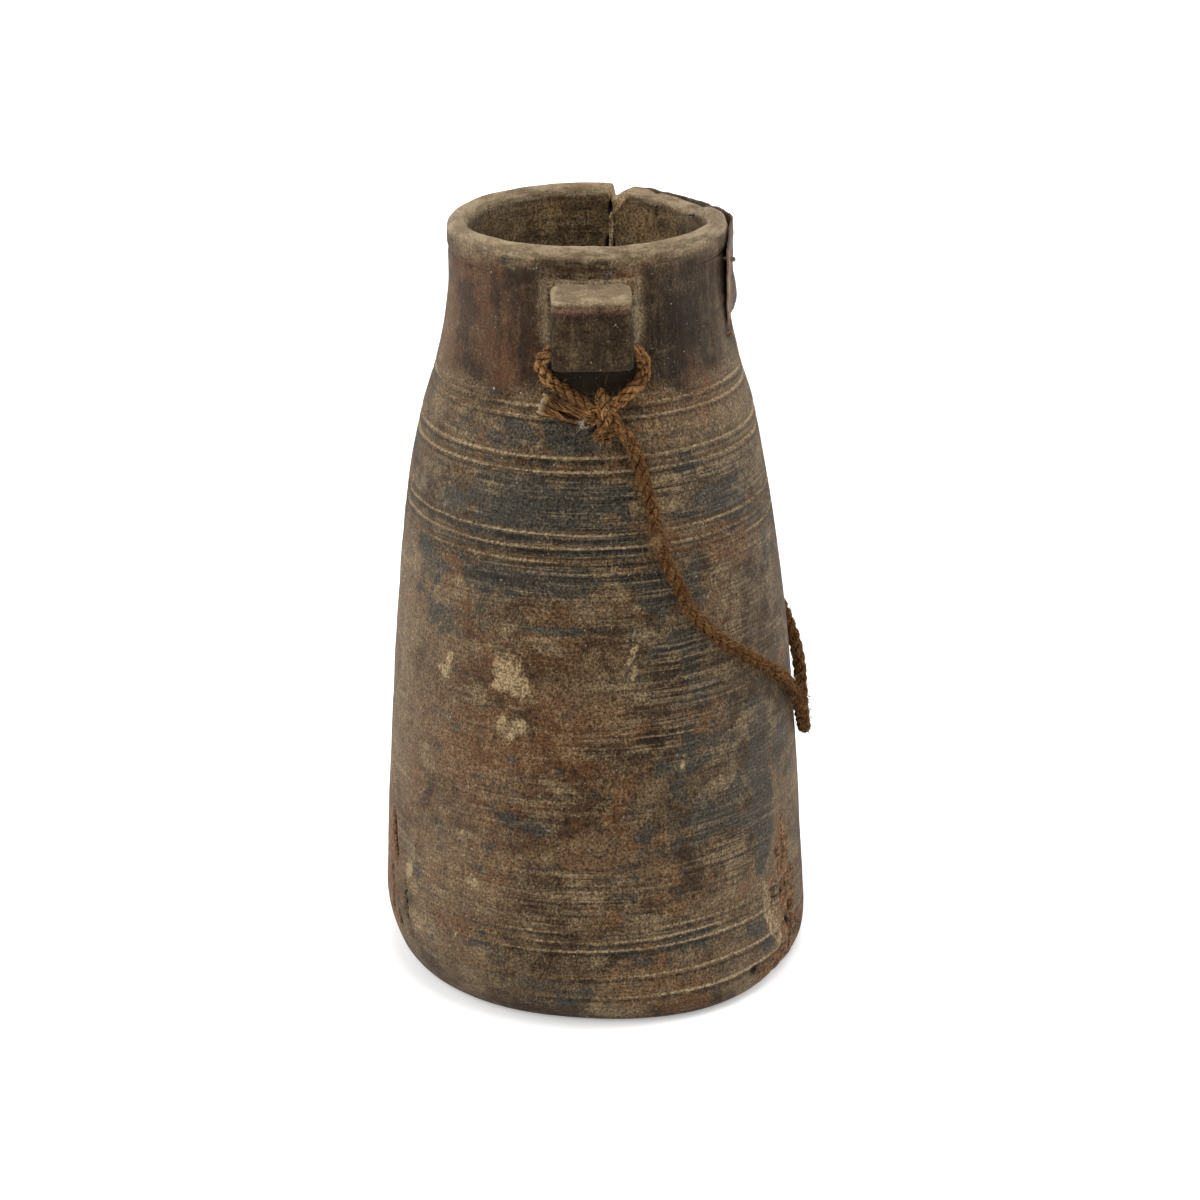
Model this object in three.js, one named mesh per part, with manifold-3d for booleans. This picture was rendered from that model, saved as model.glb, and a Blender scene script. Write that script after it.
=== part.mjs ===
// A carved wooden milk pot with two lugs, a rope handle and a nailed sheet-metal repair at the rim.
// Millimetres, +Z up. The origin is the centre of the base, and the lug with the knot faces -Y.

import * as THREE from 'three';
import { mergeVertices } from 'three/addons/utils/BufferGeometryUtils.js';
import Module from 'manifold-3d';

const wasm = await Module();
wasm.setup();

// Vessel: heights of its three parts, from the base up
const bodyHeight = 275;
const flareHeight = 61;
const neckHeight = 24;

// Vessel: radii and leans of the outer wall
const footRadius = 84;
const bellyRadius = 100;
const bellyHeight = 34;
const bellyLean = 0.05;
const heelRise = 12;
const heelReach = 10;
const bodySweep = 80;
const shoulderRadius = 74.4;
const shoulderLean = 0.24;
const shoulderSweep = 70;
const flareLean = 0.33;
const flareSweep = 20;
const neckRadius = 62.7;

// Vessel: rim and hollow
const lipProud = 0.6;
const lipBand = 13;
const lipCrown = 6;
const neckWall = 9.3;
const bellyWall = 13;
const floorThickness = 22;
const floorRound = 26;

// Turned grooves: height of the top one, how many, and the pitch down to the next
const grooveWidth = 2.6;
const grooveDepth = 1.1;
const grooveBands = [
  { top: 292, count: 2, pitch: 5.2 },
  { top: 270.4, count: 2, pitch: 6.5 },
  { top: 237, count: 3, pitch: 6.1 },
  { top: 51, count: 3, pitch: 4.7 },
  { top: 28, count: 2, pitch: 10.5 },
];

// Lugs, cut from the same log, one at the front and one at the back
const lugWidth = 36;
const lugReach = 20;
const lugHeight = 37;
const lugDrop = 13;
const lugSlope = 6.5;
const lugUndercut = 2;
const lugRound = 2.5;
const boreRadius = 4.6;
const boreStandOff = 7.3;
const boreDrop = 27;

// Rope
const ropeRadius = 3.2;
const tailRadius = 3.9;
const ropeSides = 8;
const ropeGap = 0.4;
const knotDrop = 32;
const knotStub = 4.8;

// Break in the rim at the back, left of the repair
const notchAzimuth = 77;
const notchSpan = 11;
const notchDepth = 9;

// Sheet-metal repair, wrapped round the right and back of the neck
const sheetThickness = 0.8;
const sheetFrontAzimuth = -19.5;
const sheetBackAzimuth = 69;
const sheetTopDrop = 2.5;
const sheetLength = 41.5;
const sheetTipLength = 4.5;
const sheetTipSpan = 16;
const sheetCornerSpan = 20;
const sheetCornerLength = 12;
const sheetLift = 1.6;
const sheetLiftSpan = 12;
const buckleHeight = 2.6;
const buckleDrop = 34;
const buckleAzimuth = 1;
const buckleWidth = 8;
const buckleLength = 9;

// Nails: azimuth, drop from the lip, and how far the shank goes in from the wall's outside
const shankRadius = 0.9;
const nailPoint = 2.5;
const headRadius = 2.6;
const headThickness = 0.9;
const headTaper = 0.8;
const headDome = 1.2;
const clenchLength = 5.5;
const clenchSag = 1.8;
const clenchBend = 1.5;
const nailClear = 4;
const sheetNails = [
  { name: 'sheet_nail_through', azimuth: 24, drop: 7, depth: 12.5 },
  { name: 'sheet_nail_back_upper', azimuth: 59, drop: 8, depth: 6.5 },
  { name: 'sheet_nail_middle_lower', azimuth: 24, drop: 39, depth: 6.5 },
  { name: 'sheet_nail_back_lower', azimuth: 59, drop: 38, depth: 6.5 },
];
const clenchedNails = [
  { name: 'clenched_nail_upper', azimuth: -15.5, drop: 17.5, depth: 6.5, overSheet: true },
  { name: 'clenched_nail_lower', azimuth: -18.5, drop: 51, depth: 6.5, overSheet: false },
];

// Fit between neighbours, and how far a cut runs past what it cuts
const fit = 0.3;
const overCut = 1;

// Facets: round the vessel, along each stretch of its outline, and along and round the rest
const turns = 48;
const heelSteps = 6;
const bodySteps = 10;
const flareSteps = 6;
const lipSteps = 8;
const hollowSteps = 8;
const floorSteps = 3;
const boreSides = 16;
const loopSteps = 40;
const handleSteps = 44;
const strandSteps = 5;
const stubSides = 10;
const stubRings = 7;
const nailSides = 6;
const headSides = 8;
const nailSteps = 12;
const sheetColumns = 20;
const sheetRows = 11;
const halvings = 40;

const height = bodyHeight + flareHeight + neckHeight;
const lipRadius = neckRadius + lipProud;
const mouthRadius = neckRadius - neckWall;
const boreHeight = height - lugDrop - boreDrop;
const boreDistance = neckRadius + boreStandOff;
const degree = Math.PI / 180;

// Outer wall: heel, body and flare are Bezier curves of radius and height, smooth where they meet
const heelCurve = new THREE.CubicBezierCurve(
  new THREE.Vector2(footRadius, 0),
  new THREE.Vector2(footRadius + heelReach, 0),
  new THREE.Vector2(bellyRadius + bellyLean * heelRise, bellyHeight - heelRise),
  new THREE.Vector2(bellyRadius, bellyHeight),
);
const bodyCurve = new THREE.CubicBezierCurve(
  new THREE.Vector2(bellyRadius, bellyHeight),
  new THREE.Vector2(bellyRadius - bellyLean * bodySweep, bellyHeight + bodySweep),
  new THREE.Vector2(shoulderRadius + shoulderLean * shoulderSweep, bodyHeight - shoulderSweep),
  new THREE.Vector2(shoulderRadius, bodyHeight),
);
const neckFoot = bodyHeight + flareHeight;
const flareCurve = new THREE.CubicBezierCurve(
  new THREE.Vector2(shoulderRadius, bodyHeight),
  new THREE.Vector2(shoulderRadius - flareLean * flareSweep, bodyHeight + flareSweep),
  new THREE.Vector2(neckRadius, neckFoot - flareSweep),
  new THREE.Vector2(neckRadius, neckFoot),
);

function radiusOnCurve(curve, z) {
  let low = 0;
  let high = 1;
  for (let i = 0; i < halvings; i++) {
    const middle = (low + high) / 2;
    if (curve.getPoint(middle).y < z) low = middle;
    else high = middle;
  }
  return curve.getPoint(low).x;
}

function wallRadius(z) {
  if (z < bellyHeight) return radiusOnCurve(heelCurve, Math.max(z, 0));
  if (z < bodyHeight) return radiusOnCurve(bodyCurve, z);
  if (z < neckFoot) return radiusOnCurve(flareCurve, z);
  return z > height - lipBand ? lipRadius : neckRadius;
}

function wallThickness(z) {
  const share = THREE.MathUtils.smoothstep(z, bellyHeight, bodyHeight);
  return THREE.MathUtils.lerp(bellyWall, neckWall, share);
}

// A point on or off the outer wall, by azimuth from +X towards +Y
function onWall(azimuth, z, standOff) {
  const radius = wallRadius(z) + standOff;
  return new THREE.Vector3(
    radius * Math.cos(azimuth * degree),
    radius * Math.sin(azimuth * degree),
    z,
  );
}

// Solids
function toSolid(geometry) {
  const bare = geometry.clone();
  bare.deleteAttribute('normal');
  bare.deleteAttribute('uv');
  const merged = mergeVertices(bare, 1e-4);
  const triVerts = [];
  const index = merged.index.array;
  for (let i = 0; i < index.length; i += 3) {
    const [a, b, c] = [index[i], index[i + 1], index[i + 2]];
    if (a !== b && b !== c && c !== a) triVerts.push(a, b, c);
  }
  const vertProperties = new Float32Array(merged.attributes.position.array);
  const mesh = new wasm.Mesh({ numProp: 3, vertProperties, triVerts: new Uint32Array(triVerts) });
  return new wasm.Manifold(mesh);
}

function toGeometry(solid) {
  const mesh = solid.getMesh();
  const geometry = new THREE.BufferGeometry();
  geometry.setAttribute('position', new THREE.BufferAttribute(mesh.vertProperties, 3));
  geometry.setIndex(new THREE.BufferAttribute(mesh.triVerts, 1));
  return geometry;
}

function revolve(profile, segments) {
  const points = profile.map(([radius, z]) => new THREE.Vector2(radius, z));
  return new THREE.LatheGeometry(points, segments).rotateX(Math.PI / 2);
}

function circle(radius, sides) {
  const shape = new THREE.Shape();
  for (let i = 0; i < sides; i++) {
    const angle = (2 * Math.PI * i) / sides;
    const [x, y] = [radius * Math.cos(angle), radius * Math.sin(angle)];
    if (i === 0) shape.moveTo(x, y);
    else shape.lineTo(x, y);
  }
  shape.closePath();
  return shape;
}

function tube(points, radius, sides, steps) {
  const path = new THREE.CatmullRomCurve3(points, false, 'centripetal');
  return new THREE.ExtrudeGeometry(circle(radius, sides), { extrudePath: path, steps });
}

// A straight rod that points away from the axis at an azimuth and height
function radialRod(radius, sides, from, to, azimuth, z) {
  const rod = new THREE.CylinderGeometry(radius, radius, to - from, sides);
  rod.rotateZ(-Math.PI / 2).translate((from + to) / 2, 0, 0);
  return rod.rotateZ(azimuth * degree).translate(0, 0, z);
}

// Vessel
function grooveHeights() {
  return grooveBands.flatMap(({ top, count, pitch }) =>
    Array.from({ length: count }, (_, i) => top - i * pitch));
}

function outerProfile(grooved, standOff) {
  const grooves = grooved ? grooveHeights() : [];
  const plain = [
    ...heelCurve.getPoints(heelSteps),
    ...bodyCurve.getPoints(bodySteps).slice(1),
    ...flareCurve.getPoints(flareSteps).slice(1),
  ].map((point) => point.y);
  const clear = plain.filter((z) => z > 0 && grooves.every((g) => Math.abs(g - z) > grooveWidth));
  const cuts = grooves.flatMap((g) => [
    { z: g - grooveWidth / 2, depth: 0 },
    { z: g, depth: grooveDepth },
    { z: g + grooveWidth / 2, depth: 0 },
  ]);
  const samples = [...clear.map((z) => ({ z, depth: 0 })), ...cuts].sort((a, b) => a.z - b.z);
  return samples.map(({ z, depth }) => [wallRadius(z) - depth + standOff, z]);
}

function lipProfile() {
  const halfLip = (lipRadius - mouthRadius) / 2;
  const crown = Array.from({ length: lipSteps + 1 }, (_, i) => {
    const angle = (Math.PI * i) / lipSteps;
    return [
      mouthRadius + halfLip + halfLip * Math.cos(angle),
      height - lipCrown + lipCrown * Math.sin(angle),
    ];
  });
  return [[neckRadius, height - lipBand], [lipRadius, height - lipBand + lipProud], ...crown];
}

function innerProfile() {
  const bottom = floorThickness + floorRound;
  const wall = Array.from({ length: hollowSteps + 1 }, (_, i) => {
    const z = THREE.MathUtils.lerp(neckFoot, bottom, i / hollowSteps);
    return [wallRadius(z) - wallThickness(z), z];
  });
  const floorRadius = wall.at(-1)[0];
  const corner = Array.from({ length: floorSteps }, (_, i) => {
    const angle = (Math.PI / 2) * ((i + 1) / floorSteps);
    return [
      floorRadius - floorRound * (1 - Math.cos(angle)),
      bottom - floorRound * Math.sin(angle),
    ];
  });
  return [...wall, ...corner, [0, floorThickness]];
}

function vessel() {
  const base = [[0, 0], [footRadius, 0]];
  const profile = [...base, ...outerProfile(true, 0), ...lipProfile(), ...innerProfile()];
  return toSolid(revolve(profile, turns));
}

// The vessel's smooth outside, a little larger, which trims what is pressed against it
function wallEnvelope(standOff) {
  const profile = [[0, -fit], [footRadius, -fit], ...outerProfile(false, standOff)];
  const top = height + fit;
  profile.push([neckRadius + standOff, height - lipBand], [lipRadius + standOff, height - lipBand]);
  profile.push([lipRadius + standOff, top], [0, top]);
  return toSolid(revolve(profile, turns));
}

// Lug: a side outline of reach and height, drawn out along X with rounded edges
function lugOutline() {
  const root = neckRadius - neckWall / 2;
  const face = neckRadius + lugReach;
  const top = height - lugDrop;
  const foot = top - lugHeight;
  const outline = new THREE.Shape();
  outline.moveTo(root, foot + lugRound);
  outline.lineTo(face - 2 * lugRound, foot + lugRound);
  outline.quadraticCurveTo(face - lugRound, foot + lugRound, face - lugRound, foot + 2 * lugRound);
  outline.lineTo(face - lugRound - lugUndercut, top - lugSlope - 2 * lugRound);
  outline.quadraticCurveTo(
    face - lugRound - lugUndercut,
    top - lugSlope - lugRound,
    face - 3 * lugRound,
    top - lugSlope,
  );
  outline.lineTo(neckRadius + lugRound, top - lugRound);
  outline.lineTo(root, top - lugRound);
  outline.closePath();
  return outline;
}

function lug(side) {
  const block = new THREE.ExtrudeGeometry(lugOutline(), {
    depth: lugWidth - 2 * lugRound,
    bevelThickness: lugRound,
    bevelSize: lugRound,
    bevelSegments: 2,
    curveSegments: 3,
  });
  // The outline's X becomes the reach along -Y, its Y the height, and its depth runs along X
  block.translate(0, 0, -(lugWidth / 2 - lugRound)).rotateX(Math.PI / 2).rotateZ(-Math.PI / 2);
  if (side > 0) block.rotateZ(Math.PI);
  const bore = new THREE.CylinderGeometry(boreRadius, boreRadius, lugWidth + 2 * overCut, boreSides);
  bore.rotateZ(Math.PI / 2).translate(0, side * boreDistance, boreHeight);
  return toSolid(block).subtract(toSolid(bore)).subtract(loop(side, ropeGap));
}

// A point on the wall's outside by X and height, at the front (side -1) or the back (side 1)
function besideWall(side, x, z, standOff) {
  const radius = wallRadius(z) + standOff;
  return new THREE.Vector3(x, side * Math.sqrt(radius * radius - x * x), z);
}

// Rope through a lug: X, drop below the bore's centre, and centre line's distance off the wall
const rightLeg = [
  [9.5, 27.3, 4], [15, 23.2, 3.8], [21.3, 17.6, 3.9], [22.7, 12.2, 4.6], [22, 8.4, 5.4],
];
const leftLeg = [
  [-21.8, 8.4, 5.4], [-21.9, 11.6, 4.6], [-18.8, 16.8, 3.9], [-11.2, 21.8, 3.8], [-0.5, 28.6, 4],
];
const inBore = [[19.4, 4.4], [15, 2], [9, 1.1], [0, 1.1], [-9, 1.1], [-15, 2], [-19.2, 4.4]];

function loopRoute(side) {
  const hang = ([x, drop, off]) => besideWall(side, x, boreHeight - drop, off);
  const cross = inBore.map(([x, drop]) =>
    new THREE.Vector3(x, side * boreDistance, boreHeight - drop));
  return [...rightLeg.map(hang), ...cross, ...leftLeg.map(hang)];
}

function loop(side, swell) {
  return toSolid(tube(loopRoute(side), ropeRadius + swell, ropeSides, loopSteps));
}

// Knot under a lug: a bight of rope over two crossing turns, pressed flat on the wall.
// Each strand is a list of X, rise above the knot's centre, and distance off the wall.
const knotStrands = [
  [[4.2, 9.6, 2.6], [4.3, 7, 6.4], [4.7, 0.5, 7.6], [5.3, -6, 6.2]],
  [[-3.6, 3.6, 3.6], [1.5, 2.6, 4.2], [7, 0.4, 4.2], [11, -3.2, 3.6]],
  [[10.4, 5.6, 3.6], [7, 3.2, 4], [2, -0.6, 4], [0.8, -3.6, 3.8]],
];
const stubPlace = [5.2, -6.4, 5.2];

function knot(side, swell) {
  const centre = boreHeight - knotDrop;
  const place = ([x, rise, off]) => besideWall(side, x, centre + rise, off);
  const strands = knotStrands.map((strand) =>
    toSolid(tube(strand.map(place), ropeRadius + swell, ropeSides, strandSteps)));
  const stub = new THREE.SphereGeometry(knotStub + swell, stubSides, stubRings);
  const tied = strands[0].add(strands[1]).add(strands[2]);
  return tied.add(toSolid(stub.translate(...place(stubPlace))));
}

// Tail end of the rope, frayed and fuller than the rope, lying on the wall
const tailRoute = [[1, 0.4, 6], [-6, 0.8, 5.6], [-13, 2.6, 4.8], [-23.2, 5.4, 4.3]];

function tail(side) {
  const centre = boreHeight - knotDrop;
  const points = tailRoute.map(([x, rise, off]) => besideWall(side, x, centre + rise, off));
  const end = toSolid(tube(points, tailRadius, ropeSides, strandSteps));
  return end.subtract(loop(side, fit)).subtract(knot(side, fit));
}

// Rope handle: azimuth, height and slack off the wall, from the front knot round the right side
const handleRoute = [
  [-83, 284.5, 1], [-79.5, 280, 0.4], [-77.2, 274, 0], [-75.3, 265.5, 0], [-73.8, 256, 0], [-72.4, 246, 0],
  [-71.2, 235, 0], [-69.3, 224.5, 0], [-66.3, 213.5, 0], [-62.4, 200.5, 0], [-57.4, 189.5, 0],
  [-50.8, 179.5, 0], [-42.3, 169.3, 0], [-32.5, 158.5, 0], [-23, 147, 0], [-14.5, 133, 0.2],
  [-8.5, 118.5, 0.8], [-2, 109, 1.2], [4.5, 111.2, 1.8], [8, 122, 2.8], [9.8, 135, 3.2], [13, 148, 2.2],
  [19.5, 159, 0.9], [29, 168.5, 0.2], [40, 177.5, 0], [51, 187.5, 0], [60, 199.5, 0], [66, 213.5, 0],
  [69.8, 228, 0], [72.4, 243, 0], [74.4, 257, 0], [76.4, 268.5, 0], [79.5, 279, 0.4], [83, 284.5, 1],
];

function handle() {
  const lift = ropeRadius + ropeGap;
  const points = handleRoute.map(([azimuth, z, slack]) => onWall(azimuth, z, lift + slack));
  return toSolid(tube(points, ropeRadius, ropeSides, handleSteps));
}

// Sheet repair: azimuth of its front edge and height of its lower edge change along it
const sheetTop = height - sheetTopDrop;

function sheetFront(z) {
  const share = THREE.MathUtils.clamp((z - sheetTop) / sheetCornerLength + 1, 0, 1);
  return sheetFrontAzimuth + sheetCornerSpan * share * share;
}

function sheetFoot(azimuth) {
  const share = THREE.MathUtils.clamp(1 - (azimuth - sheetFrontAzimuth) / sheetTipSpan, 0, 1);
  return sheetTop - sheetLength - sheetTipLength * share * share;
}

function sheetOff(azimuth, z) {
  const fromEdge = THREE.MathUtils.clamp(1 - (azimuth - sheetFrontAzimuth) / sheetLiftSpan, 0, 1);
  const across = (azimuth - buckleAzimuth) / buckleWidth;
  const down = (z - (sheetTop - buckleDrop)) / buckleLength;
  const buckle = buckleHeight * Math.exp(-across * across - down * down);
  return fit + sheetLift * fromEdge * fromEdge + buckle;
}

function onSheet(azimuth, z, standOff) {
  const radius = Math.max(lipRadius, wallRadius(z)) + sheetOff(azimuth, z) + standOff;
  return new THREE.Vector3(
    radius * Math.cos(azimuth * degree),
    radius * Math.sin(azimuth * degree),
    z,
  );
}

// A closed plate from a grid of points: both faces and the strip round the edge
function plateGeometry(columns, rows, point) {
  const positions = [];
  const index = [];
  const stride = columns + 1;
  const face = stride * (rows + 1);
  for (const side of [0, 1]) {
    for (let row = 0; row <= rows; row++) {
      for (let column = 0; column <= columns; column++) {
        positions.push(...point(column / columns, row / rows, side));
      }
    }
  }
  const quad = (a, b, c, d) => index.push(a, b, c, a, c, d);
  for (let row = 0; row < rows; row++) {
    for (let column = 0; column < columns; column++) {
      const a = row * stride + column;
      quad(a, a + 1, a + 1 + stride, a + stride);
      quad(face + a, face + a + stride, face + a + 1 + stride, face + a + 1);
    }
  }
  const rim = [];
  for (let column = 0; column < columns; column++) rim.push(column);
  for (let row = 0; row < rows; row++) rim.push(row * stride + columns);
  for (let column = columns; column > 0; column--) rim.push(rows * stride + column);
  for (let row = rows; row > 0; row--) rim.push(row * stride);
  rim.forEach((a, i) => {
    const b = rim[(i + 1) % rim.length];
    quad(a, face + a, face + b, b);
  });
  const geometry = new THREE.BufferGeometry();
  geometry.setAttribute('position', new THREE.Float32BufferAttribute(positions, 3));
  geometry.setIndex(index);
  return geometry;
}

function repairSheet() {
  const passes = 3;
  const plate = plateGeometry(sheetColumns, sheetRows, (across, down, side) => {
    let z = sheetTop - down * sheetLength;
    let azimuth = 0;
    for (let pass = 0; pass < passes; pass++) {
      azimuth = THREE.MathUtils.lerp(sheetFront(z), sheetBackAzimuth, across);
      z = THREE.MathUtils.lerp(sheetTop, sheetFoot(azimuth), down);
    }
    return onSheet(azimuth, z, side * sheetThickness);
  });
  return toSolid(plate);
}

// Nails
function nailHole(nail) {
  const z = height - nail.drop;
  const outside = lipRadius + sheetThickness + buckleHeight + headThickness + nailClear;
  const from = wallRadius(z) - nail.depth - fit;
  return toSolid(radialRod(shankRadius + fit, nailSides, from, outside, nail.azimuth, z));
}

function sheetNail(nail) {
  const z = height - nail.drop;
  const tip = wallRadius(z) - nail.depth;
  const seat = onSheet(nail.azimuth, z, sheetThickness + fit).setZ(0).length();
  const profile = [
    [0, tip], [shankRadius, tip + nailPoint], [shankRadius, seat], [headRadius, seat],
    [headRadius * headTaper, seat + headThickness], [0, seat + headThickness * headDome],
  ];
  const nailShape = revolve(profile, headSides).rotateY(Math.PI / 2);
  return toSolid(nailShape.rotateZ(nail.azimuth * degree).translate(0, 0, z));
}

// A nail bent over flat: in along the radius, then along the wall away from the front
function clenchedNail(nail) {
  const z = height - nail.drop;
  const surface = nail.overSheet
    ? onSheet(nail.azimuth, z, sheetThickness).setZ(0).length()
    : wallRadius(z);
  const out = surface + fit + shankRadius;
  const inner = wallRadius(z) - nail.depth;
  const straight = [inner, inner + nailPoint, out - clenchBend].map((x) => new THREE.Vector3(x, 0, 0));
  const bentOver = [0.2, 0.6, 1].map((share) =>
    new THREE.Vector3(out, share * clenchLength, -share * clenchSag));
  const bent = tube([...straight, ...bentOver], shankRadius, nailSides, nailSteps);
  return toSolid(bent.rotateZ(nail.azimuth * degree).translate(0, 0, z));
}

// Notch broken out of the rim: a vertical side and a sloping one, cut straight out through the wall
function rimNotch() {
  const reach = 2 * lipRadius * Math.sin((notchSpan / 2) * degree);
  const outline = new THREE.Shape();
  outline.moveTo(0, -notchDepth);
  outline.lineTo(reach, overCut);
  outline.lineTo(0, overCut);
  outline.closePath();
  const cut = new THREE.ExtrudeGeometry(outline, { depth: 3 * neckWall, bevelEnabled: false });
  // The outline's X becomes the way round towards the right, its Y the height, its depth the radius
  cut.rotateX(Math.PI / 2).rotateZ(Math.PI).translate(0, mouthRadius - neckWall, height);
  return toSolid(cut.rotateZ((notchAzimuth - 90) * degree));
}

// Materials and the assembled pot
function finish(color, roughness, metalness) {
  return new THREE.MeshStandardMaterial({ color, roughness, metalness });
}

const wood = finish(0x4a3526, 0.72, 0);
const iron = finish(0x5d4338, 0.75, 0.6);
const nailIron = finish(0x3a2b26, 0.7, 0.6);
const fibre = finish(0x7d4d26, 0.95, 0);

const pot = new THREE.Group();

function place(name, solid, material) {
  const mesh = new THREE.Mesh(toGeometry(solid), material);
  mesh.name = name;
  pot.add(mesh);
}

const lugSides = { front: -1, rear: 1 };
const nails = [...sheetNails, ...clenchedNails];
const ropeTrim = wallEnvelope(fit);

let body = vessel();
for (const side of Object.values(lugSides)) body = body.add(lug(side));
body = body.subtract(rimNotch());
for (const nail of nails) body = body.subtract(nailHole(nail));
place('pot_body', body, wood);

let sheet = repairSheet();
for (const nail of nails) sheet = sheet.subtract(nailHole(nail));
place('repair_sheet', sheet, iron);
for (const nail of sheetNails) place(nail.name, sheetNail(nail), nailIron);
for (const nail of clenchedNails) place(nail.name, clenchedNail(nail), nailIron);

let strand = handle();
for (const [name, side] of Object.entries(lugSides)) {
  const around = knot(side, fit);
  place(`rope_${name}_loop`, loop(side, 0).subtract(around), fibre);
  place(`rope_${name}_knot`, knot(side, 0).subtract(ropeTrim), fibre);
  place(`rope_${name}_tail`, tail(side).subtract(ropeTrim), fibre);
  strand = strand.subtract(around);
}
place('rope_handle', strand, fibre);

export default pot;
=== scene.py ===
"""The looks of a carved wooden pot: dark worn wood, a three-strand rope handle and a nailed iron sheet.

Metres, +Z up. The pot's axis is Z, azimuths are degrees from +X towards +Y, and the front lug is at -Y.
"""

import functools
import math

import bpy
import numpy as np
from mathutils import Matrix, Vector


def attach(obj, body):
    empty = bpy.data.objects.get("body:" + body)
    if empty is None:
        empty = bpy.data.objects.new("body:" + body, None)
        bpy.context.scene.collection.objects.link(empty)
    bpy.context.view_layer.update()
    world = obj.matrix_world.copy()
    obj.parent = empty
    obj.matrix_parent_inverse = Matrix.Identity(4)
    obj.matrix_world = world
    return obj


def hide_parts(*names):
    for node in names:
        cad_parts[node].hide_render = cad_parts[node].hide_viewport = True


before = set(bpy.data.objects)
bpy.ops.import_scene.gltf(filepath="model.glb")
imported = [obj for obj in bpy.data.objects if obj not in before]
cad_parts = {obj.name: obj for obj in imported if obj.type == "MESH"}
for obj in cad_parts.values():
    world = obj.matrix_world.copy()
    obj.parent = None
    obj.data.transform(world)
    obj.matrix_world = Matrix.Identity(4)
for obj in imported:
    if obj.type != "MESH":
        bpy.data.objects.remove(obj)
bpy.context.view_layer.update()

# Outer wall, as corners of three Bezier stretches: radius and height
HEEL = [(0.084, 0), (0.094, 0), (0.1006, 0.022), (0.1, 0.034)]
BODY = [(0.1, 0.034), (0.096, 0.114), (0.0912, 0.205), (0.0744, 0.275)]
FLARE = [(0.0744, 0.275), (0.0678, 0.295), (0.0627, 0.316), (0.0627, 0.336)]
NECK_FOOT = 0.336
HEIGHT = 0.36
LIP_PROUD = 0.0006
LIP_BAND = 0.013
LIP_CROWN = 0.006
LIP_LINE = 0.346
NECK_WALL = 0.0093
BELLY_WALL = 0.013
FLOOR_TOP = 0.022
FLOOR_ROUND = 0.026
BODY_TOP = 0.275
BELLY_HEIGHT = 0.034
FOOT_RADIUS = 0.084
WIDEST = 0.1032
NECK_RADIUS = 0.0627
LIP_RADIUS = NECK_RADIUS + LIP_PROUD
MOUTH_RADIUS = NECK_RADIUS - NECK_WALL

# Turned grooves: height, depth, half width
GROOVES = [
    (0.292, 0.001, 0.0013), (0.2868, 0.001, 0.0013), (0.2704, 0.0011, 0.0014), (0.2639, 0.0012, 0.0015),
    (0.237, 0.0011, 0.0013), (0.2309, 0.0011, 0.0013), (0.2248, 0.001, 0.0013), (0.051, 0.0007, 0.0012),
    (0.0463, 0.0006, 0.0012), (0.0416, 0.0006, 0.0012), (0.028, 0.0006, 0.0014), (0.0175, 0.0003, 0.0014),
]

# Lugs and their bores
LUG_WIDTH = 0.036
LUG_REACH = 0.02
LUG_TOP = 0.347
LUG_FOOT = 0.310
LUG_ROOT = NECK_RADIUS - NECK_WALL / 2
BORE_RADIUS = 0.0046
BORE_HEIGHT = 0.32
BORE_DISTANCE = 0.07

# Rope
ROPE_RADIUS = 0.0032
ROPE_GAP = 0.0004
ROPE_LAY = 0.0165
TAIL_RADIUS = 0.0039
KNOT_HEIGHT = 0.288

# Sheet repair
SHEET_THICKNESS = 0.0008
SHEET_TOP = 0.3575
SHEET_LENGTH = 0.0415
SHEET_FRONT = -19.5
SHEET_BACK = 69
SEAT_GAP = 0.0003
SHANK = 0.0009
HEAD = 0.0026

FRONT = -1
REAR = 1

# Camera: degrees, metres, and the lens and its frame in millimetres
CAMERA_AZIMUTH = -91.2
CAMERA_ELEVATION = 20.9575
CAMERA_LEAN = -0.6466
CAMERA_DISTANCE = 1.5
CAMERA_SENSOR = 36
CAMERA_LENS = 96.105
CAMERA_SHIFT = (0.0074, -0.00993)

# How finely the meshes are divided
VESSEL_COLUMNS = 332
LUG_ROUNDS = 150
LUG_THROUGH = 110
SHEET_COLUMNS = 150
SHEET_ROWS = 64
NAIL_SIDES = 20
CLENCHED_SIDES = 16
YARN_SIDES = 6
YARN_RINGS = 20
HAIR_SIDES = 3
HAIR_RINGS = 7
STRAND_SIDES = 20
ROPE_STEP = 0.0007
NO_TRIANGLES = np.zeros((0, 3), int)


# Numbers on whole arrays
def bezier(corners, share):
    """A cubic Bezier: the four corners weighted by the Bernstein polynomials of share."""
    t = np.asarray(share)[:, None]
    a, b, c, d = np.array(corners, float)
    return (1 - t) ** 3 * a + 3 * t * (1 - t) ** 2 * b + 3 * t**2 * (1 - t) * c + t**3 * d


def smooth(value, low, high):
    """0 below low and 1 above high, with the cubic 3t^2 - 2t^3 between."""
    t = np.clip((np.asarray(value, float) - low) / (high - low), 0, 1)
    return t * t * (3 - 2 * t)


def hump(value, middle, half):
    """A bell, exp(-d^2), of the distance from the middle in halves."""
    return np.exp(-(((np.asarray(value, float) - middle) / half) ** 2))


def turn_between(azimuth, middle):
    """Degrees from the middle to an azimuth, the short way round."""
    return (np.asarray(azimuth, float) - middle + 180) % 360 - 180


def oval(azimuth, z, at, height, wide, tall):
    """A soft oval on the wall: exp(-(da/wide)^2 - (dz/tall)^2)."""
    return np.exp(-((turn_between(azimuth, at) / wide) ** 2) - ((z - height) / tall) ** 2)


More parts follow.
